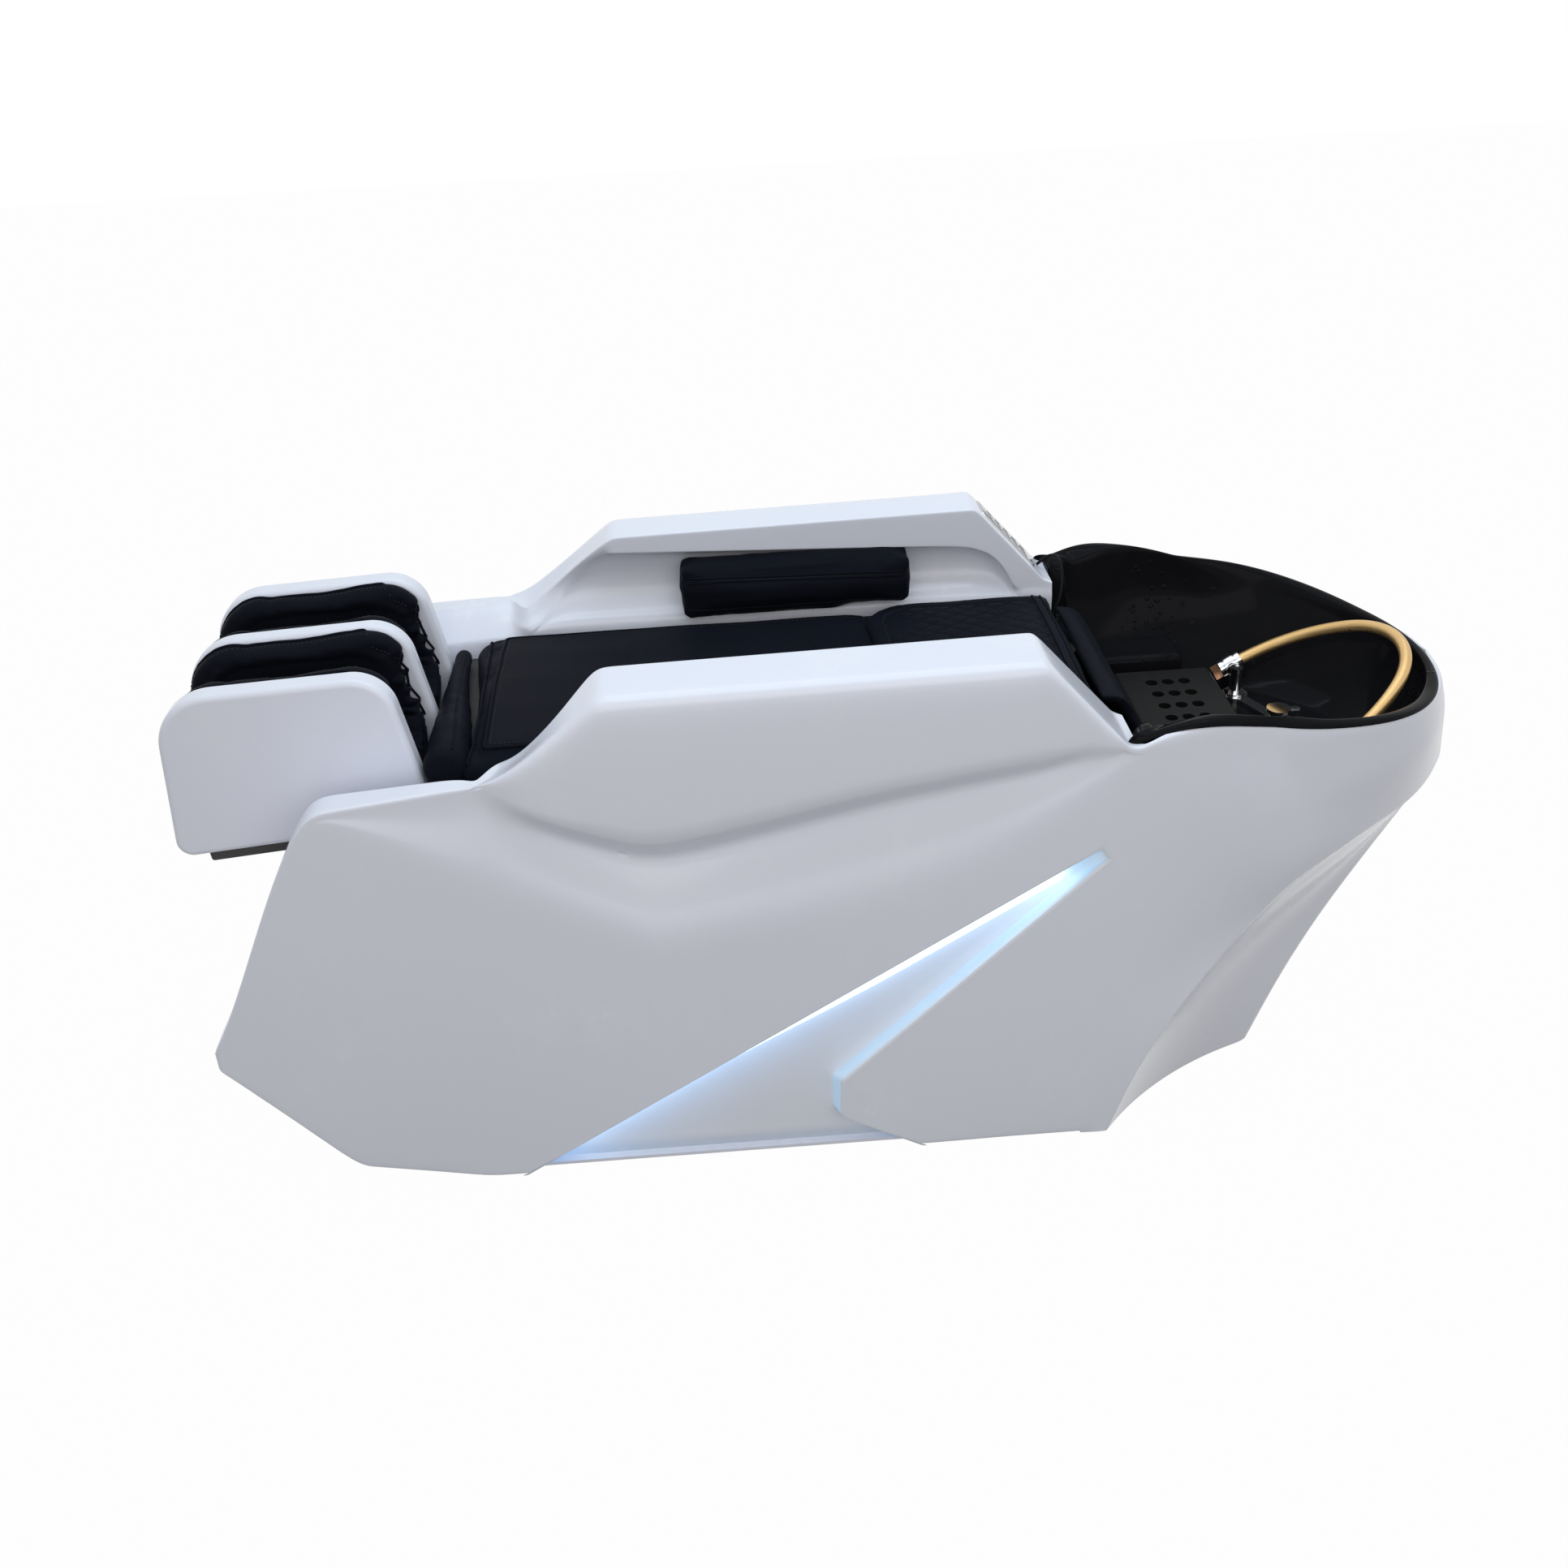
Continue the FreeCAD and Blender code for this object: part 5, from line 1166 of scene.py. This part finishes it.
for side, sign in SIDES:
    net = bmesh.new()
    corners = []
    for z, outer in ((512, SHELF_OUTER[0]), (SHELF_TOP, SHELF_OUTER[1])):
        front, rear = SHELF_X
        for x, y in ((front, SHELF_INNER), (rear, SHELF_INNER), (rear, outer), (front, outer)):
            corners.append(net.verts.new((x * MM, sign * y * MM, z * MM)))
    low, high = corners[:4], corners[4:]
    net.faces.new(high)
    for k in range(4):
        net.faces.new((low[k], low[(k + 1) % 4], high[(k + 1) % 4], high[k]))
    bmesh.ops.recalc_face_normals(net, faces=net.faces)
    inner_edges = [edge for edge in net.edges if not all(v in low for v in edge.verts)
                   and min(abs(v.co.y) for v in edge.verts) < (SHELF_INNER + 1) * MM]
    bmesh.ops.bevel(net, geom=inner_edges, offset=13 * MM, segments=4, profile=0.5, affect="EDGES")
    mesh = mesh_of(net, f"{side}_bowl_shelf")
    shelf = new_piece(mesh.name, mesh, black_coat, "base", 40)
    print(shelf.name, len(mesh.polygons), "faces")

# %% [markdown]
# ## Water arch
# The arch is a stiff braided hose held at both ends by a heavy chrome sleeve that tilts on its
# post. The hose takes the solid's own net, swollen to its true thickness. The sleeves are turned:
# a profile of rings swept round the arch's end, with a short neck towards the post.

# %% Hose and sleeves
ARCH_TILT = math.radians(30)
HOSE_SWELL = 2.6
SLEEVE_MIDDLE = Vector((702, 184, 559))
SLEEVE_PROFILE = (
    (-20, 9.8), (-20, 14), (-18.6, 15.4), (-12, 15.4), (-11, 14.2), (-9.6, 14.2), (-8.4, 16.4), (0, 17.2),
    (8.4, 16.4), (9.6, 14.2), (11, 14.2), (12, 15.4), (18.6, 15.4), (20, 14), (20, 9.8),
)
NECK_PROFILE = ((-21.5, 7.4), (-21.5, 10.6), (-20.5, 11.6), (-17, 11.6), (-12, 10.4), (0, 10.4))


def turned(net, middle, axis, profile, steps=40):
    """Rings round an axis, joined into one skin."""
    axis = axis.normalized()
    across = axis.orthogonal().normalized()
    other = axis.cross(across)
    rings = []
    for run, radius in profile:
        ring = []
        for step in range(steps):
            angle = 2 * math.pi * step / steps
            spot = middle + axis * run + (across * math.cos(angle) + other * math.sin(angle)) * radius
            ring.append(net.verts.new(spot * MM))
        rings.append(ring)
    join_rings(net, rings)


mesh = nodes["water_arch"].data.copy()
weld = bmesh.new()
weld.from_mesh(mesh)
bmesh.ops.remove_doubles(weld, verts=weld.verts, dist=1e-6)
weld.normal_update()
for vertex in weld.verts:
    vertex.co += vertex.normal * HOSE_SWELL * MM
weld.to_mesh(mesh)
weld.free()
hose = new_piece("water_hose", mesh, SLOT_FINISH["gold_tube"], "arch", MOULDED_EDGE)
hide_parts("water_arch")

net = bmesh.new()
for sign in (-1, 1):
    middle = Vector((SLEEVE_MIDDLE.x, sign * SLEEVE_MIDDLE.y, SLEEVE_MIDDLE.z))
    turned(net, middle, Vector((math.cos(ARCH_TILT), 0, math.sin(ARCH_TILT))), SLEEVE_PROFILE)
    turned(net, middle, Vector((0, sign, 0)), NECK_PROFILE)
bmesh.ops.recalc_face_normals(net, faces=net.faces)
mesh = mesh_of(net, "arch_sleeve_pair")
sleeves = new_piece("arch_sleeve_pair", mesh, SLOT_FINISH["chrome"], "arch", 35)
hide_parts("arch_sleeves")
print(hose.name, len(hose.data.polygons), "faces,", sleeves.name, len(mesh.polygons), "faces")

# %% [markdown]
# ## Control panel
# A touch panel lies on the rear slope of the right arm: a thin metal frame round dark glass, with
# plain ring keys. All three are rounded plates in the slope's own directions, so one function
# makes them.

# %% Control panel
SLOPE_TOP = Vector((264, 300, 848))
SLOPE_END = Vector((396, 300, 700))
PANEL_START = 22
PANEL_SIZE = (140, 66)
slope_run = (SLOPE_END - SLOPE_TOP).normalized()
slope_out = Vector((-slope_run.z, 0, slope_run.x))


def slope_spot(down, across, high):
    """A place on the arm's rear slope, from the panel's upper edge."""
    return (SLOPE_TOP + slope_run * (PANEL_START + down) + slope_out * high + Vector((0, across, 0))) * MM


def rounded_ring(net, middle, size, radius, high, steps=5):
    """A ring of points round a rectangle with rounded corners."""
    ring = []
    for turn, (p, q) in enumerate(((1, 1), (-1, 1), (-1, -1), (1, -1))):
        for step in range(steps + 1):
            angle = math.radians(90 * turn + 90 * step / steps)
            down = middle[0] + p * (size[0] / 2 - radius) + radius * math.cos(angle)
            across = middle[1] + q * (size[1] / 2 - radius) + radius * math.sin(angle)
            ring.append(net.verts.new(slope_spot(down, across, high)))
    return ring


def plate_net(net, middle, size, radius, low, high, edge):
    """A plate with a softened upper edge."""
    rings = [rounded_ring(net, middle, size, radius, height) for height in (low, high - edge)]
    for share in (0.45, 1):
        drawn = (size[0] - 2 * edge * share, size[1] - 2 * edge * share)
        lift = high if share == 1 else high - 0.35 * edge
        rings.append(rounded_ring(net, middle, drawn, radius - edge * share, lift))
    join_rings(net, rings)
    net.faces.new(rings[-1])


def slope_piece(name, plates, finish):
    """One piece made of plates on the arm's rear slope."""
    net = bmesh.new()
    for plate in plates:
        plate_net(net, *plate)
    bmesh.ops.recalc_face_normals(net, faces=net.faces)
    mesh = mesh_of(net, name)
    piece = new_piece(name, mesh, finish, "base", 42)
    print(name, len(mesh.polygons), "faces")
    return piece


panel_middle = (PANEL_SIZE[0] / 2, 0)
bezel = slope_piece("panel_frame", [(panel_middle, PANEL_SIZE, 9, -4.5, 1.6, 1.2)],
                    SLOT_FINISH["alu"])
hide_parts("control_panel_bezel")
glass_size = (PANEL_SIZE[0] - 11, PANEL_SIZE[1] - 11)
glass = slope_piece("panel_screen", [(panel_middle, glass_size, 5, 0.5, 1.9, 0.5)],
                    SLOT_FINISH["panel_glass"])
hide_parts("control_panel_glass")
keys = [((28 + 22 * row, 15 * column), (12, 12), 5.8, 1.6, 2.15, 0.2)
        for row in range(5) for column in (-1, 0, 1)]
slope_piece("panel_keys", keys, SLOT_FINISH["grey_plastic"])

# %% [markdown]
# ## Cushions
# Leather over foam swells between its seams. Each cover starts as the pad's own solid, drawn in a
# little, remeshed evenly and then blown up by the cloth solver with a cap on how far a point may
# move. Where a pad rests on the deck it stays flat. What is sewn into it comes afterwards, because
# remeshing would wipe out any seam.

# %% Cloth helpers
CLOTH_FRAMES = 14
CLOTH_STEPS = 4


def even_skin(name, node, voxel, draw_in, corner_cuts=()):
    """A pad's solid as an even net, drawn in along its normals. Cuts take its corners off first."""
    piece = bpy.data.objects.new(name, nodes[node].data.copy())
    scene.collection.objects.link(piece)
    if corner_cuts:
        net = bmesh.new()
        net.from_mesh(piece.data)
        bmesh.ops.remove_doubles(net, verts=net.verts, dist=1e-6)
        for spot, outward in corner_cuts:
            bmesh.ops.bisect_plane(net, geom=net.verts[:] + net.edges[:] + net.faces[:], dist=1e-7,
                                   plane_co=Vector(spot) * MM, plane_no=outward, clear_outer=True)
            bmesh.ops.holes_fill(net, edges=[edge for edge in net.edges if edge.is_boundary])
        net.to_mesh(piece.data)
        net.free()
    remesh = piece.modifiers.new("even", "REMESH")
    remesh.mode = "VOXEL"
    remesh.voxel_size = voxel * MM
    baked(piece)
    relax = piece.modifiers.new("relax", "SMOOTH")
    relax.factor = 0.5
    relax.iterations = 3
    baked(piece)
    for vertex, normal in zip(piece.data.vertices, [v.normal.copy() for v in piece.data.vertices]):
        vertex.co -= normal * draw_in * MM
    return piece


def swollen(piece, cap, pressure, stiff=12.0):
    """Blow a cover up as cloth, with no point moving further than cap."""
    start = [v.co.copy() for v in piece.data.vertices]
    cloth = piece.modifiers.new("cover", "CLOTH")
    cloth.settings.use_pressure = True
    cloth.settings.uniform_pressure_force = pressure
    cloth.settings.tension_stiffness = stiff
    cloth.settings.compression_stiffness = stiff
    cloth.settings.shear_stiffness = stiff * 0.5
    cloth.settings.effector_weights.gravity = 0
    cloth.settings.quality = CLOTH_STEPS
    for number in range(1, CLOTH_FRAMES + 1):
        scene.frame_set(number)
    graph = bpy.context.evaluated_depsgraph_get()
    end = [v.co.copy() for v in piece.evaluated_get(graph).data.vertices]
    piece.modifiers.remove(cloth)
    scene.frame_set(1)
    for vertex, a, b in zip(piece.data.vertices, start, end):
        move = b - a
        if move.length > cap * MM:
            move = move.normalized() * cap * MM
        vertex.co = a + move
    return piece


def rumple(piece, scale, amount, seed):
    """Small slack folds, by a fixed noise."""
    offset = Vector((seed * 1.7, seed * 2.3, seed * 0.9))
    folds = []
    for vertex in piece.data.vertices:
        spot = Vector(a * b for a, b in zip(vertex.co, scale))
        folds.append(vertex.normal * noise.noise(spot + offset) * amount * MM)
    for vertex, fold in zip(piece.data.vertices, folds):
        vertex.co += fold
    return piece


def pressed(piece, shape):
    """Move each point along its normal by what shape gives for its place and normal, in millimetres."""
    moves = [v.normal * shape(v.co / MM, v.normal) * MM for v in piece.data.vertices]
    for vertex, move in zip(piece.data.vertices, moves):
        vertex.co += move
    return piece


def upholstered(piece, node, finish, body, grow=4.0, sag=0.0):
    low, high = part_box(node)
    for vertex in piece.data.vertices:
        vertex.co.z = max(vertex.co.z, low.z + (0.3 - sag) * MM)
        vertex.co.x = min(max(vertex.co.x, low.x - grow * MM), high.x + grow * MM)
    piece.data.materials.clear()
    piece.data.materials.append(finish)
    for face in piece.data.polygons:
        face.use_smooth = True
    smooth = piece.modifiers.new("smooth", "SUBSURF")
    smooth.levels = 1
    smooth.render_levels = 1
    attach(piece, body)
    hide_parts(node)
    print(piece.name, len(piece.data.polygons), "faces")
    return piece


# %% [markdown]
# ## Seams
# A seam shows as a piped edge, a thin cord sewn into the joint, with a row of stitches beside it.
# Both follow a route that is dropped onto the finished cover, so they always lie on the leather.
# A stitch is a tiny spindle, because a bump in the finish would vanish at the outline.

# %% Seam helpers


def stroll(corners, radius=0.0, step=7.0):
    """Points every few millimetres along a line of corners, with rounded turns."""
    knots = [Vector(corner) for corner in corners]
    line = knots[:1]
    for before, here, after in zip(knots, knots[1:], knots[2:]):
        start = here + (before - here).normalized() * min(radius, (before - here).length / 2)
        stop = here + (after - here).normalized() * min(radius, (after - here).length / 2)
        line += [bend(start, here, stop, k / 6) for k in range(7)]
    line.append(knots[-1])
    points = []
    for a, b in zip(line, line[1:]):
        count = max(1, math.ceil((b - a).length / step))
        points += [a.lerp(b, k / count) for k in range(count)]
    return points + [line[-1]]


def skin_of(piece):
    """The surface of a cover, ready for finding the nearest point on it."""
    return BVHTree.FromObject(piece, bpy.context.evaluated_depsgraph_get())


def on_skin(skin, spot, lift):
    """The nearest place on a cover, lifted off it a little, and the normal there."""
    place, normal, face, gap = skin.find_nearest(Vector(spot) * MM)
    return place + normal * lift * MM, normal


def piped(name, skin, routes, radius, finish, body):
    """Round sewn cords that lie half sunk in a cover along each route."""
    curve = bpy.data.curves.new(name, "CURVE")
    curve.dimensions = "3D"
    curve.bevel_depth = radius * MM
    curve.bevel_resolution = 2
    curve.use_fill_caps = True
    for route in routes:
        places = [on_skin(skin, spot, 0.35 * radius)[0] for spot in route]
        line = curve.splines.new("POLY")
        line.points.add(len(places) - 1)
        for point, place in zip(line.points, places):
            point.co = (*place, 1)
    holder = bpy.data.objects.new(name, curve)
    scene.collection.objects.link(holder)
    mesh = bpy.data.meshes.new_from_object(holder.evaluated_get(bpy.context.evaluated_depsgraph_get()))
    bpy.data.objects.remove(holder)
    piece = new_piece(name, mesh, finish, body)
    print(name, len(routes), "cords")
    return piece


def stitched(name, skin, routes, body, pitch=7.0, long=4.6, thick=0.75):
    """Short spindles of thread, one after another along each route."""
    net = bmesh.new()
    count = 0
    for route in routes:
        length = 0.0
        due = 0.0
        for a, b in zip(route, route[1:]):
            run = (b - a).length
            while due < length + run:
                middle, normal = on_skin(skin, a.lerp(b, (due - length) / run), 0.2)
                way = (b - a).normalized()
                way = (way - normal * way.dot(normal)).normalized()
                side = normal.cross(way)
                tips = [net.verts.new(middle + way * end * long / 2 * MM) for end in (-1, 1)]
                waist = [net.verts.new(middle + (side * p + normal * q) * thick * MM)
                         for p, q in ((1, 0), (0, 1), (-1, 0), (0, -1))]
                for k in range(4):
                    net.faces.new((tips[0], waist[k], waist[k - 1]))
                    net.faces.new((tips[1], waist[k - 1], waist[k]))
                due += pitch
                count += 1
            length += run
    piece = new_piece(name, mesh_of(net, name), thread, body)
    print(name, count, "stitches")
    return piece


thread = plastic("sewing_thread", colour(0.02, 0.021, 0.024), 0.6, 900)

# %% [markdown]
# ## Seat
# The seat is one long cushion with a sewn-on panel that stands a little higher, edged with piping.
# In front of it lies a loose roll of the same leather, fat at the near end and thin at the far
# end, where it has been pulled tight.

# %% Seat cushion
PANEL_FRONT = -536
PANEL_REAR = 66
PANEL_HALF = 196
PANEL_RISE = 7


def panel_rise(place, normal):
    """The seat's sewn-on panel, with a groove along its seam."""
    inside = min(place.x - PANEL_FRONT, PANEL_HALF - abs(place.y), PANEL_REAR + 60 - place.x)
    if normal.z < 0.5:
        return 0
    groove = 2.4 * max(1 - abs(inside + 5) / 7, 0)
    return PANEL_RISE * ease(inside, -2, 9) * (1 - ease(place.x, PANEL_REAR - 30, PANEL_REAR + 10)) - groove


seat = swollen(even_skin("seat_cover", "seat_cushion", 6, 3.0), 7, 4.0)
for vertex in seat.data.vertices:
    skirt = 26 * ease(vertex.co.y / MM, -60, 200) * (1 - ease(vertex.co.z / MM, 640, 690))
    vertex.co.x -= (20 + skirt) * MM * (1 - ease(vertex.co.x / MM, -550, -490))
pressed(seat, panel_rise)
rumple(seat, (9, 14, 9), 1.2, 3)
upholstered(seat, "seat_cushion", black_hide, "base", 48)

seat_skin = skin_of(seat)
panel_edge = stroll(((PANEL_REAR, -PANEL_HALF, 700), (PANEL_FRONT, -PANEL_HALF, 700),
                     (PANEL_FRONT, PANEL_HALF, 700), (PANEL_REAR, PANEL_HALF, 700)), 14)
front_seam = stroll(((-564, -214, 690), (-564, 214, 690)))
piped("seat_piping", seat_skin, [panel_edge, front_seam], 2.6, black_hide, "base")
inner_row = stroll(((PANEL_REAR, 12 - PANEL_HALF, 700), (PANEL_FRONT + 12, 12 - PANEL_HALF, 700),
                    (PANEL_FRONT + 12, PANEL_HALF - 12, 700), (PANEL_REAR, PANEL_HALF - 12, 700)), 12)
stitched("seat_stitching", seat_skin, [inner_row], "base")

# %% Front roll
ROLL_AXIS = (-588.5, 640)
ROLL_THIN = 0.42


def roll_share(y):
    """How thick the roll is along its length, 1 at the near end."""
    return ROLL_THIN + (1 - ROLL_THIN) * (1 - ease(y, -200, 210))


roll = swollen(even_skin("front_roll_cover", "front_bolster", 5, 3.0), 5, 4.0)
rumple(roll, (20, 34, 20), 1.8, 5)
for vertex in roll.data.vertices:
    share = roll_share(vertex.co.y / MM)
    lean = (1 - share) * 34
    vertex.co.x = (ROLL_AXIS[0] - lean + (vertex.co.x / MM - ROLL_AXIS[0]) * share) * MM
    vertex.co.z = (ROLL_AXIS[1] + (vertex.co.z / MM - ROLL_AXIS[1]) * share) * MM
upholstered(roll, "front_bolster", black_hide, "base")
roll_skin = skin_of(roll)
roll_seam = stroll(((-572, -205, 706), (-590, 0, 690), (-604, 205, 664)))
piped("roll_piping", roll_skin, [roll_seam], 1.8, black_hide, "base")

# %% [markdown]
# ## Back overlay
# A thin quilted pad lies over the head half of the seat. Its front corners are widely rounded, a
# plain border runs round it and diamonds are sewn into the middle. The diamonds are pressed into
# the net, so they also show at grazing angles.

# %% Back overlay and neck flap
OVERLAY_BOX = (62, 384, 222)
CORNER_ROUND = 96
BORDER = 34
DIAMOND = (44, 36)


def corner_planes():
    """Cuts that round the two front corners in plan."""
    cuts = []
    for sign in (-1, 1):
        centre = Vector((OVERLAY_BOX[0] + CORNER_ROUND, sign * (OVERLAY_BOX[2] - CORNER_ROUND), 0))
        for degrees in (18, 36, 54, 72):
            angle = math.radians(degrees)
            outward = Vector((-math.cos(angle), sign * math.sin(angle), 0))
            cuts.append((centre + outward * CORNER_ROUND, outward))
    return cuts


def border_gap(place):
    """How far a place is inside the overlay's border seam."""
    front, rear, half = OVERLAY_BOX
    inside = min(place.x - front, rear - place.x, half - abs(place.y))
    dx = front + CORNER_ROUND - place.x
    dy = abs(place.y) - half + CORNER_ROUND
    if dx > 0 and dy > 0:
        inside = CORNER_ROUND - math.hypot(dx, dy)
    return inside - BORDER


def quilting(place, normal):
    """The overlay's border seam, with diamonds inside it."""
    if normal.z < 0.5:
        return 0
    gap = border_gap(place)
    seam = 2.6 * max(1 - abs(gap) / 5, 0)
    if gap < 0:
        return 1.5 * math.sin(math.pi * min(max((gap + BORDER) / BORDER, 0), 1)) - seam
    one = place.x / DIAMOND[0] + place.y / DIAMOND[1]
    two = place.x / DIAMOND[0] - place.y / DIAMOND[1]
    near = min(abs(one - round(one)), abs(two - round(two))) * 28
    return 0.9 - 2.1 * max(1 - near / 4.2, 0) - seam


overlay = swollen(even_skin("quilted_overlay", "back_overlay", 4, 2.0, corner_planes()), 4, 3.0)
pressed(overlay, quilting)
rumple(overlay, (10, 12, 10), 1.4, 19)
upholstered(overlay, "back_overlay", black_hide, "base")
overlay_skin = skin_of(overlay)
front, rear, half = OVERLAY_BOX
overlay_edge = stroll(((rear - 4, -half + 3, 690), (front + 3, -half + 3, 690), (front + 3, half - 3, 690),
                       (rear - 4, half - 3, 690)), CORNER_ROUND)
border_line = stroll(((rear - 10, BORDER - half, 710), (front + BORDER, BORDER - half, 710),
                      (front + BORDER, half - BORDER, 710), (rear - 10, half - BORDER, 710)),
                     CORNER_ROUND - BORDER)
rear_lines = [stroll(((x, -210, 710), (x, 210, 710))) for x in (rear - 28, rear - 12)]
piped("overlay_piping", overlay_skin, [overlay_edge] + rear_lines, 2.0, black_hide, "base")
stitched("overlay_stitching", overlay_skin, [border_line], "base", 6, 4)

flap = swollen(even_skin("neck_flap_cover", "neck_flap", 4, 2.0), 4, 3.0)
rumple(flap, (16, 26, 16), 1.4, 7)
upholstered(flap, "neck_flap", black_hide, "base")

# %% [markdown]
# ## Arm cuffs
# A soft massage cuff sits in each arm's scoop. It is a slack leather sack with a zip along the top of
# its inner face and a piped lower edge, so it is blown up with less stiffness and more folds.

# %% Arm cuffs
ZIP_LINE = ((-222, 204, 768), (-60, 201, 766), (60, 201, 762), (136, 204, 760))
CUFF_EDGE = ((-226, 204, 716), (-120, 202, 709), (40, 202, 708), (138, 206, 712))


def zip_groove(place, normal):
    """A shallow channel along the zip, with the leather swelling on both sides."""
    if abs(place.y) > 225:
        return 0
    gap = abs(place.z - along([(x, z) for x, y, z in ZIP_LINE], place.x))
    return 1.5 * ease(gap, 5, 16) * (1 - ease(gap, 16, 34)) - 2.2 * max(1 - gap / 6, 0)


for side, sign in SIDES:
    cuff = swollen(even_skin(f"{side}_cuff_cover", f"{side}_arm_cuff", 5, 3.0), 7, 4.0, 6.0)
    for vertex in cuff.data.vertices:
        low = 1 - ease(vertex.co.z / MM, 700, 760)
        vertex.co.z -= 9 * MM * low * (1 - ease(vertex.co.x / MM, 10, 60))
    pressed(cuff, zip_groove)
    rumple(cuff, (12, 30, 30), 2.4, 11)
    rumple(cuff, (40, 46, 46), 0.9, 17)
    upholstered(cuff, f"{side}_arm_cuff", cuff_hide, "base", 4, 10)
    cuff_skin = skin_of(cuff)
    seams = []
    for line, shift in ((ZIP_LINE, 4), (ZIP_LINE, -4), (CUFF_EDGE, 0)):
        seams.append(stroll([(x, sign * y, z + shift) for x, y, z in line], 60))
    piped(f"{side}_cuff_piping", cuff_skin, seams, 1.7, cuff_hide, "base")
    teeth = stroll([(x, sign * y, z) for x, y, z in ZIP_LINE], 60)
    stitched(f"{side}_cuff_zip", cuff_skin, [teeth], "base", 3.2, 2.2, 1.1)

# %% [markdown]
# ## Calf pads
# Two padded troughs lie between the three white walls of the leg rest. Their leather swells up to
# just below the walls' tops and is piped along both edges, from the foot end over to the knee.

# %% Calf pads
PAD_EDGE = ((-992, 600), (-976, 796), (-668, 811), (-636, 660))
PAD_INNER = 16
PAD_OUTER = 165


def pad_edge_rise(place, normal):
    """The pad's edges stand up along the walls."""
    gap = min(abs(place.y) - PAD_INNER, PAD_OUTER - abs(place.y))
    outward = max(normal.z, -normal.x, 0)
    return (11 + 5.0 * (1 - ease(gap, 8, 52))) * ease(place.z, 620, 700) * ease(outward, 0.1, 0.6)


for side, sign in SIDES:
    pad = swollen(even_skin(f"{side}_calf_pad", f"leg_{side}_pad", 5, 4.0), 8, 4.0)
    pressed(pad, pad_edge_rise)
    rumple(pad, (14, 30, 14), 2.0, 13)
    rumple(pad, (40, 40, 40), 0.8, 23)
    for vertex in pad.data.vertices:
        across = min(max(abs(vertex.co.y), (PAD_INNER + 0.4) * MM), (PAD_OUTER - 0.4) * MM)
        vertex.co.y = sign * across
    upholstered(pad, f"leg_{side}_pad", black_hide, "leg_rest")
    pad_skin = skin_of(pad)
    edges = []
    rows = []
    for y in (PAD_INNER + 6, PAD_OUTER - 6):
        edges.append(stroll([(x, sign * y, z + 8) for x, z in PAD_EDGE], 80))
        toward = 9 if y < 90 else -9
        rows.append(stroll([(x, sign * (y + toward), z) for x, z in PAD_EDGE], 80))
    piped(f"{side}_calf_piping", pad_skin, edges, 2.2, black_hide, "leg_rest")
    stitched(f"{side}_calf_stitching", pad_skin, rows, "leg_rest")
